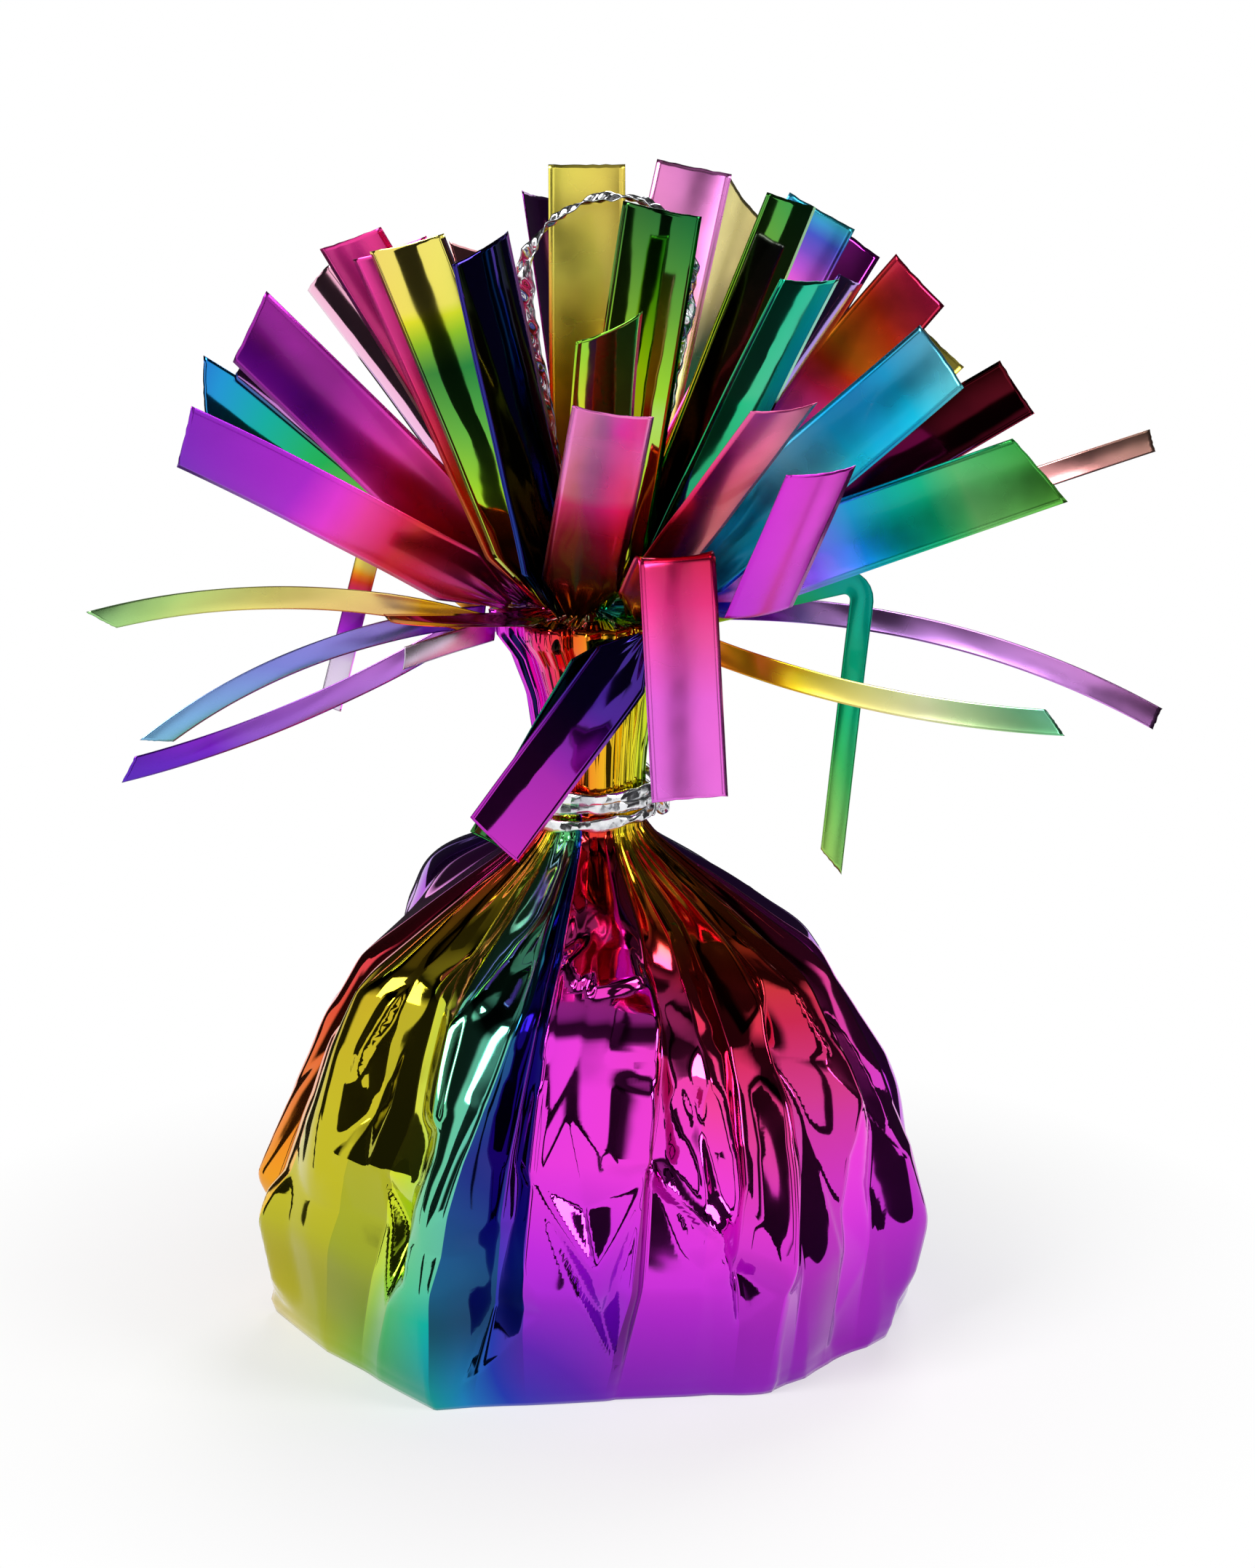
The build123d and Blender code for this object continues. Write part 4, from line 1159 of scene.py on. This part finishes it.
@dataclass
class Loop:
    """The silver ribbon loop that a balloon is tied to.

    The route is in metres, other sizes in millimetres. Turns, in degrees from edge on, and width shares
    are given at shares of the length. A crumple is its size, its rounds and its slant.
    """

    route: tuple = (
        (-0.00135, 0.0, 0.0863),
        (-0.00791, 0.0, 0.12072),
        (-0.00618, 0.0, 0.12956),
        (0.00251, 0.0, 0.1341),
        (0.01158, 0.0, 0.13004),
        (0.01119, 0.0, 0.11976),
        (0.00135, 0.0, 0.0863),
    )
    width: float = 3.4
    film: float = 0.14
    turn_places: tuple = (0.0, 0.1, 0.3, 0.42, 0.6, 0.72, 0.9, 1.0)
    turns: tuple = (70, 80, 76, 14, 8, 70, 76, 60)
    turn_wander: float = 9.0
    width_places: tuple = (0.0, 0.36, 0.42, 0.6, 0.68, 1.0)
    widths: tuple = (1.0, 0.8, 0.42, 0.42, 0.8, 1.0)
    width_wander: float = 0.14
    crumples: tuple = ((0.3, 21.0, 0.4), (0.16, 47.0, -0.7))
    cup: float = 0.35
    rows: int = 260
    columns: int = 11

    def line(self) -> Array:
        """Points in millimetres read from the smooth spline that has the route as its control points."""
        curve = bpy.data.curves.new("loop_route", "CURVE")
        curve.dimensions = "3D"
        curve.resolution_u = 32
        spline = curve.splines.new("NURBS")
        spline.points.add(len(self.route) - 1)
        homogeneous = np.concatenate([np.array(self.route), np.ones((len(self.route), 1))], axis=1)
        spline.points.foreach_set("co", homogeneous.ravel())
        spline.order_u = 3
        spline.use_endpoint_u = True
        holder = bpy.data.objects.new("loop_route", curve)
        mesh = bpy.data.meshes.new_from_object(holder)
        places = np.empty(len(mesh.vertices) * 3)
        mesh.vertices.foreach_get("co", places)
        bpy.data.objects.remove(holder)
        bpy.data.curves.remove(curve)
        bpy.data.meshes.remove(mesh)
        return places.reshape(-1, 3) / MM

    def build(self, silver: Material) -> None:
        """Carry a creased flat profile along the spline, facing the front on the legs and edge on above."""
        spots = self.line()
        steps = np.linalg.norm(np.diff(spots, axis=0), axis=1)
        reach = np.concatenate([[0.0], np.cumsum(steps)])
        run = np.linspace(0.0, reach[-1], self.rows)
        centre = np.stack([np.interp(run, reach, part) for part in spots.T], axis=-1)
        heading = unit(np.gradient(centre, axis=0))
        share = (run / reach[-1])[:, None]
        depth = np.array((0.0, 1.0, 0.0))
        aside = unit(np.cross(heading, depth))
        turn = np.interp(share, self.turn_places, self.turns) + self.turn_wander * zigzag(share * 9.0 + 0.2)
        turn = np.radians(turn)
        breadth = depth * np.cos(turn) + aside * np.sin(turn)
        normal = np.cross(heading, breadth)
        wander = 1.0 - self.width_wander + self.width_wander * zigzag(share * 7.0)
        half = 0.5 * self.width * wander * np.interp(share, self.width_places, self.widths)
        side = np.linspace(-1.0, 1.0, self.columns)[None, :]
        crumple = sum(size * zigzag(share * rounds + slant * side) for size, rounds, slant in self.crumples)
        rise = crumple + self.cup * side**2 * half
        points = centre[:, None] + breadth[:, None] * (half * side)[..., None]
        piece = lay_grid("silver_loop", points + normal[:, None] * rise[..., None])
        thicken(piece, self.film)
        dress(piece, silver, "ribbon_loop", "ribbon_loop")


@dataclass
class Tie:
    """The silver ribbon wound round the waist and its knot.

    Sizes are in millimetres; the knot's halves are its depth, width and height. A swell is its size, its
    rounds and its start.
    """

    radius: float = 7.3
    foot: float = 61.4
    turns: float = 3.4
    pitch: float = 1.3
    ribbon_height: float = 1.45
    ribbon_depth: float = 0.75
    start: float = 80.0
    slant: float = 0.55
    slant_azimuth: float = 60.0
    taper_share: float = 0.015
    swells: tuple = ((0.22, 23.0, 0.0), (0.1, 57.0, 0.3))
    crumple: float = 0.14
    bed_wander: float = 0.18
    boxy_power: float = 0.7
    rows: int = 520
    columns: int = 14
    knot_azimuth: float = 72.0
    knot_out: float = 1.35
    knot_up: float = 2.1
    knot_halves: tuple = (0.85, 1.25, 1.45)
    knot_fold: float = 0.12
    knot_crease: float = 0.14
    knot_crease_spread: float = 0.25
    knot_rows: int = 26
    knot_columns: int = 40

    def winding(self) -> Array:
        """A flattened profile carried up a screw line; its turns slant and wander, its ends are pointed."""
        share = np.linspace(0.0, 1.0, self.rows)[:, None]
        azimuth = self.start + 360.0 * self.turns * share
        slant = self.slant * np.sin(np.radians(azimuth - self.slant_azimuth))
        slant = slant * np.sin(2.2 * np.pi * share + 0.4)
        height = self.foot + self.pitch * self.turns * share + slant
        taper = np.sqrt(np.clip(np.minimum(share, 1.0 - share) / self.taper_share, 0.0, 1.0))
        ring = np.linspace(0.0, 2 * np.pi, self.columns, endpoint=False)[None, :]
        swell = sum((size * zigzag(share * rounds + start) for size, rounds, start in self.swells), 1.0)
        crumple = 1.0 + self.crumple * zigzag(3.0 * ring / (2 * np.pi) + share * 31.0)
        boxy = np.sign(np.cos(ring)) * np.abs(np.cos(ring)) ** self.boxy_power
        out = 0.5 * self.ribbon_depth * boxy * crumple
        up = 0.5 * self.ribbon_height * np.sin(ring) * swell * crumple
        bed = self.radius + self.bed_wander * zigzag(share * 13.0)
        return around(bed - out * taper, azimuth, height + up * taper)

    def knot(self) -> Array:
        """A creased pebble: a rounded box grid with a cross crease, wider than it is deep."""
        tilt = np.linspace(-np.pi / 2, np.pi / 2, self.knot_rows)[:, None]
        ring = np.linspace(0.0, 2 * np.pi, self.knot_columns, endpoint=False)[None, :]
        folds = self.knot_fold * zigzag(4 * ring / (2 * np.pi) + 0.8 * np.sin(tilt))
        crease = self.knot_crease * np.exp(-((tilt / self.knot_crease_spread) ** 2))
        outline = np.cos(tilt) ** self.boxy_power * (1.0 + folds - crease)
        turn = np.radians(self.knot_azimuth)
        outward = np.array((np.sin(turn), -np.cos(turn), 0.0))
        sideways = np.array((np.cos(turn), np.sin(turn), 0.0))
        depth, width, height = self.knot_halves
        points = around(self.radius + self.knot_out, self.knot_azimuth, self.foot + self.knot_up)
        points = points + depth * (outline * np.sin(-ring))[..., None] * outward
        points = points + width * (outline * np.cos(ring))[..., None] * sideways
        points[..., 2] += height * np.sin(tilt)
        return points

    def build(self, silver: Material) -> None:
        """Lay the winding and the knot and dress them."""
        dress(lay_grid("silver_tie", self.winding(), closed=True, poles=True), silver, "weight", "neck_tie")
        dress(lay_grid("silver_knot", self.knot(), closed=True, poles=True), silver, "weight", "tie_knot")


@dataclass
class Ballast:
    """The tub, its lid and its sand, sealed inside the wrap, which keep their solids."""

    finishes: dict = field(
        default_factory=lambda: {
            "weight_cup": GrainFinish("tub_plastic", (0.82, 0.82, 0.79), (0.74, 0.74, 0.71), 900.0, 0.5, 0.1),
            "cup_lid": GrainFinish("lid_plastic", (0.84, 0.84, 0.82), (0.77, 0.77, 0.75), 900.0, 0.45, 0.1),
            "sand_fill": GrainFinish("dry_sand", (0.72, 0.6, 0.42), (0.48, 0.36, 0.22), 2400.0, 0.95, 0.8),
        }
    )

    def build(self) -> None:
        """Give each solid its finish."""
        for node, finish in self.finishes.items():
            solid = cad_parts[node]
            solid.data.materials.clear()
            solid.data.materials.append(finish.build())
            log.info("%s: finished as %s", node, finish.name)


@dataclass
class Studio:
    """Floor, white surroundings with a dim ceiling, soft lamps and the camera.

    Sizes are in millimetres. Sky and walls are stops of place and brightness, from straight down to
    straight up and once round; cards are their first and last azimuths; a lamp is its name, its place, its
    size and its power. The floor's white comes in between the two reaches, which are in metres.
    """

    aim: tuple = (4.2, 0.0, 64.8)
    distance: float = 600.0
    elevation: float = 17.0
    view_height: float = 180.4
    floor_radius: float = 2600.0
    floor_drop: float = 0.05
    floor_depth: float = 2.0
    floor_grey: float = 0.86
    floor_rows: int = 40
    floor_columns: int = 96
    matt: float = 0.9
    white_reaches: tuple = (0.042, 0.09)
    white_shares: tuple = (0.55, 1.0)
    sky: tuple = ((0.0, 1.0), (0.74, 1.0), (0.82, 0.03), (0.92, 0.02), (0.97, 0.25), (1.0, 0.3))
    walls: tuple = (
        (0.0, 1.0), (0.055, 1.0), (0.07, 0.02), (0.135, 0.02), (0.15, 0.9), (0.185, 0.9), (0.2, 0.02),
        (0.28, 0.02), (0.295, 1.0), (0.44, 1.0), (0.452, 0.02), (0.478, 0.02), (0.49, 1.0), (0.655, 1.0),
        (0.67, 0.02), (0.765, 0.02), (0.775, 1.0), (0.81, 1.0), (0.82, 0.02), (0.93, 0.02), (0.945, 1.0),
        (1.0, 1.0),
    )
    cards: tuple = (
        (-166, -150), (-128, -110), (-97, -86), (-43, -28), (-13, -6),
        (30, 37), (55, 84), (96, 128), (146, 170),
    )
    card_colour: tuple = (0.012, 0.012, 0.014, 1.0)
    card_distance: float = 86.0
    card_height: float = 175.0
    card_foot: float = 1.0
    card_tongue: float = 34.0
    card_rows: int = 6
    card_columns: int = 17
    lamps: tuple = (
        ("key_lamp", (-700.0, -620.0, 820.0), 520.0, 9.0),
        ("side_lamp", (820.0, -420.0, 520.0), 420.0, 5.0),
        ("back_lamp", (260.0, 820.0, 760.0), 480.0, 5.0),
    )

    def floor(self) -> None:
        """A wide pale disc that shows white to the camera and to reflections and keeps the shadow."""
        reach = np.linspace(0.0, 1.0, self.floor_rows)[:, None] ** 2 * self.floor_radius
        azimuth = np.linspace(-180.0, 180.0, self.floor_columns, endpoint=False)[None, :]
        top = around(reach, azimuth, -self.floor_drop)[:, ::-1]
        below = top[[-1, 0]] - np.array((0.0, 0.0, self.floor_depth))
        disc = lay_grid("floor", np.concatenate([top, below]), closed=True, poles=True)
        bench = NodeBench.start("pale_floor")
        bench.surface({"Base Color": (*[self.floor_grey] * 3, 1.0), "Roughness": self.matt})
        path = bench.add("ShaderNodeLightPath").outputs
        seen = bench.math("MAXIMUM", path["Is Camera Ray"], path["Is Glossy Ray"])
        seen = bench.math("MAXIMUM", seen, path["Is Transmission Ray"])
        away = bench.add("ShaderNodeVectorMath", {0: bench.place()}, operation="LENGTH").outputs["Value"]
        share = bench.math("MULTIPLY", seen, bench.span(away, self.white_reaches, self.white_shares))
        glow = bench.add("ShaderNodeEmission", {"Color": WHITE, "Strength": 1.0})
        shaders = {0: share, 1: bench.shader.outputs[0], 2: glow.outputs[0]}
        mixed = bench.add("ShaderNodeMixShader", shaders)
        output = bench.material.node_tree.nodes["Material Output"]
        bench.feed(output.inputs["Surface"], mixed.outputs[0])
        disc.data.materials.append(bench.material)

    def surroundings(self) -> None:
        """White to the camera; to everything else white walls with dark gaps under a dim ceiling."""
        world = bpy.data.worlds.new("studio")
        world.use_nodes = True
        bench = NodeBench(world)
        way = bench.add("ShaderNodeTexCoord").outputs["Generated"]
        parts = bench.add("ShaderNodeSeparateXYZ", {0: way}).outputs
        turn = bench.math("ARCTAN2", parts["X"], bench.math("MULTIPLY", parts["Y"], -1.0))
        walls = bench.ramp(bench.span(turn, (-np.pi, np.pi), (0.0, 1.0)), grey(self.walls))
        sky = bench.ramp(bench.span(parts["Z"], (-1.0, 1.0), (0.0, 1.0)), grey(self.sky))
        light = bench.mix(1.0, walls, sky, "MULTIPLY")
        path = bench.add("ShaderNodeLightPath")
        shown = bench.mix(path.outputs["Is Camera Ray"], light, WHITE)
        bench.feed(world.node_tree.nodes["Background"].inputs["Color"], shown)
        bpy.context.scene.world = world

    def dark_cards(self) -> None:
        """Dark cards round the object, out of the picture, for the film to mirror.

        Each is a piece of a cylinder whose lower edge falls in a curve to a tongue in the middle.
        """
        bench = NodeBench.start("dark_card")
        bench.surface({"Base Color": self.card_colour, "Roughness": self.matt})
        across = np.linspace(-1.0, 1.0, self.card_columns)[None, :]
        foot = self.card_foot + self.card_tongue * np.abs(across) ** 1.6
        height = foot + (self.card_height - foot) * np.linspace(0.0, 1.0, self.card_rows)[:, None]
        for low, high in self.cards:
            azimuth = np.linspace(low, high, self.card_columns)[None, :]
            card = lay_grid(f"dark_card_{low}", around(self.card_distance, azimuth, height))
            card.data.materials.append(bench.material)
            card.visible_camera = card.visible_shadow = card.visible_diffuse = False

    def lights(self) -> None:
        """Soft square lamps that face the middle of the object."""
        target = np.array(self.aim)
        for name, place, size, power in self.lamps:
            lamp = bpy.data.lights.new(name, "AREA")
            lamp.size = size * MM
            lamp.energy = power
            holder = bpy.data.objects.new(name, lamp)
            holder.location = np.array(place) * MM
            holder.rotation_euler = aim_turn(np.array(place) - target)
            bpy.context.scene.collection.objects.link(holder)

    def camera(self) -> None:
        """A camera at the photograph's angle and framing."""
        lens = bpy.data.cameras.new("view")
        lens.lens = lens.sensor_width * self.distance / self.view_height
        holder = bpy.data.objects.new("view", lens)
        rise = np.radians(self.elevation)
        away = np.array((0.0, -np.cos(rise), np.sin(rise))) * self.distance
        holder.location = (np.array(self.aim) + away) * MM
        holder.rotation_euler = aim_turn(away)
        bpy.context.scene.collection.objects.link(holder)
        bpy.context.scene.camera = holder

    def build(self) -> None:
        """Set up the whole studio."""
        self.floor()
        self.surroundings()
        self.dark_cards()
        self.lights()
        self.camera()
        bpy.context.scene.view_settings.view_transform = "Standard"


def aim_turn(away: Array) -> tuple[float, float, float]:
    """Turn for a lamp or camera that stands at away from what it looks at."""
    flat = np.hypot(away[0], away[1])
    return (float(np.arctan2(flat, away[2])), 0.0, float(np.arctan2(away[0], -away[1])))


def main() -> None:
    """Build every sub-assembly in order."""
    logging.basicConfig(level=logging.INFO, format="%(name)s %(message)s")
    Studio().build()
    foils = {
        Sheen.MIRROR: FoilFinish("rainbow_foil").build(),
        Sheen.SATIN: FoilFinish("satin_foil", gloss=(0.2, 0.34), crinkle_strength=0.06).build(),
    }
    silver = SilverFinish().build()
    Wrap().build(foils[Sheen.MIRROR])
    Plume().build(foils)
    Loop().build(silver)
    Tie().build(silver)
    Ballast().build()


if __name__ == "__main__":
    main()
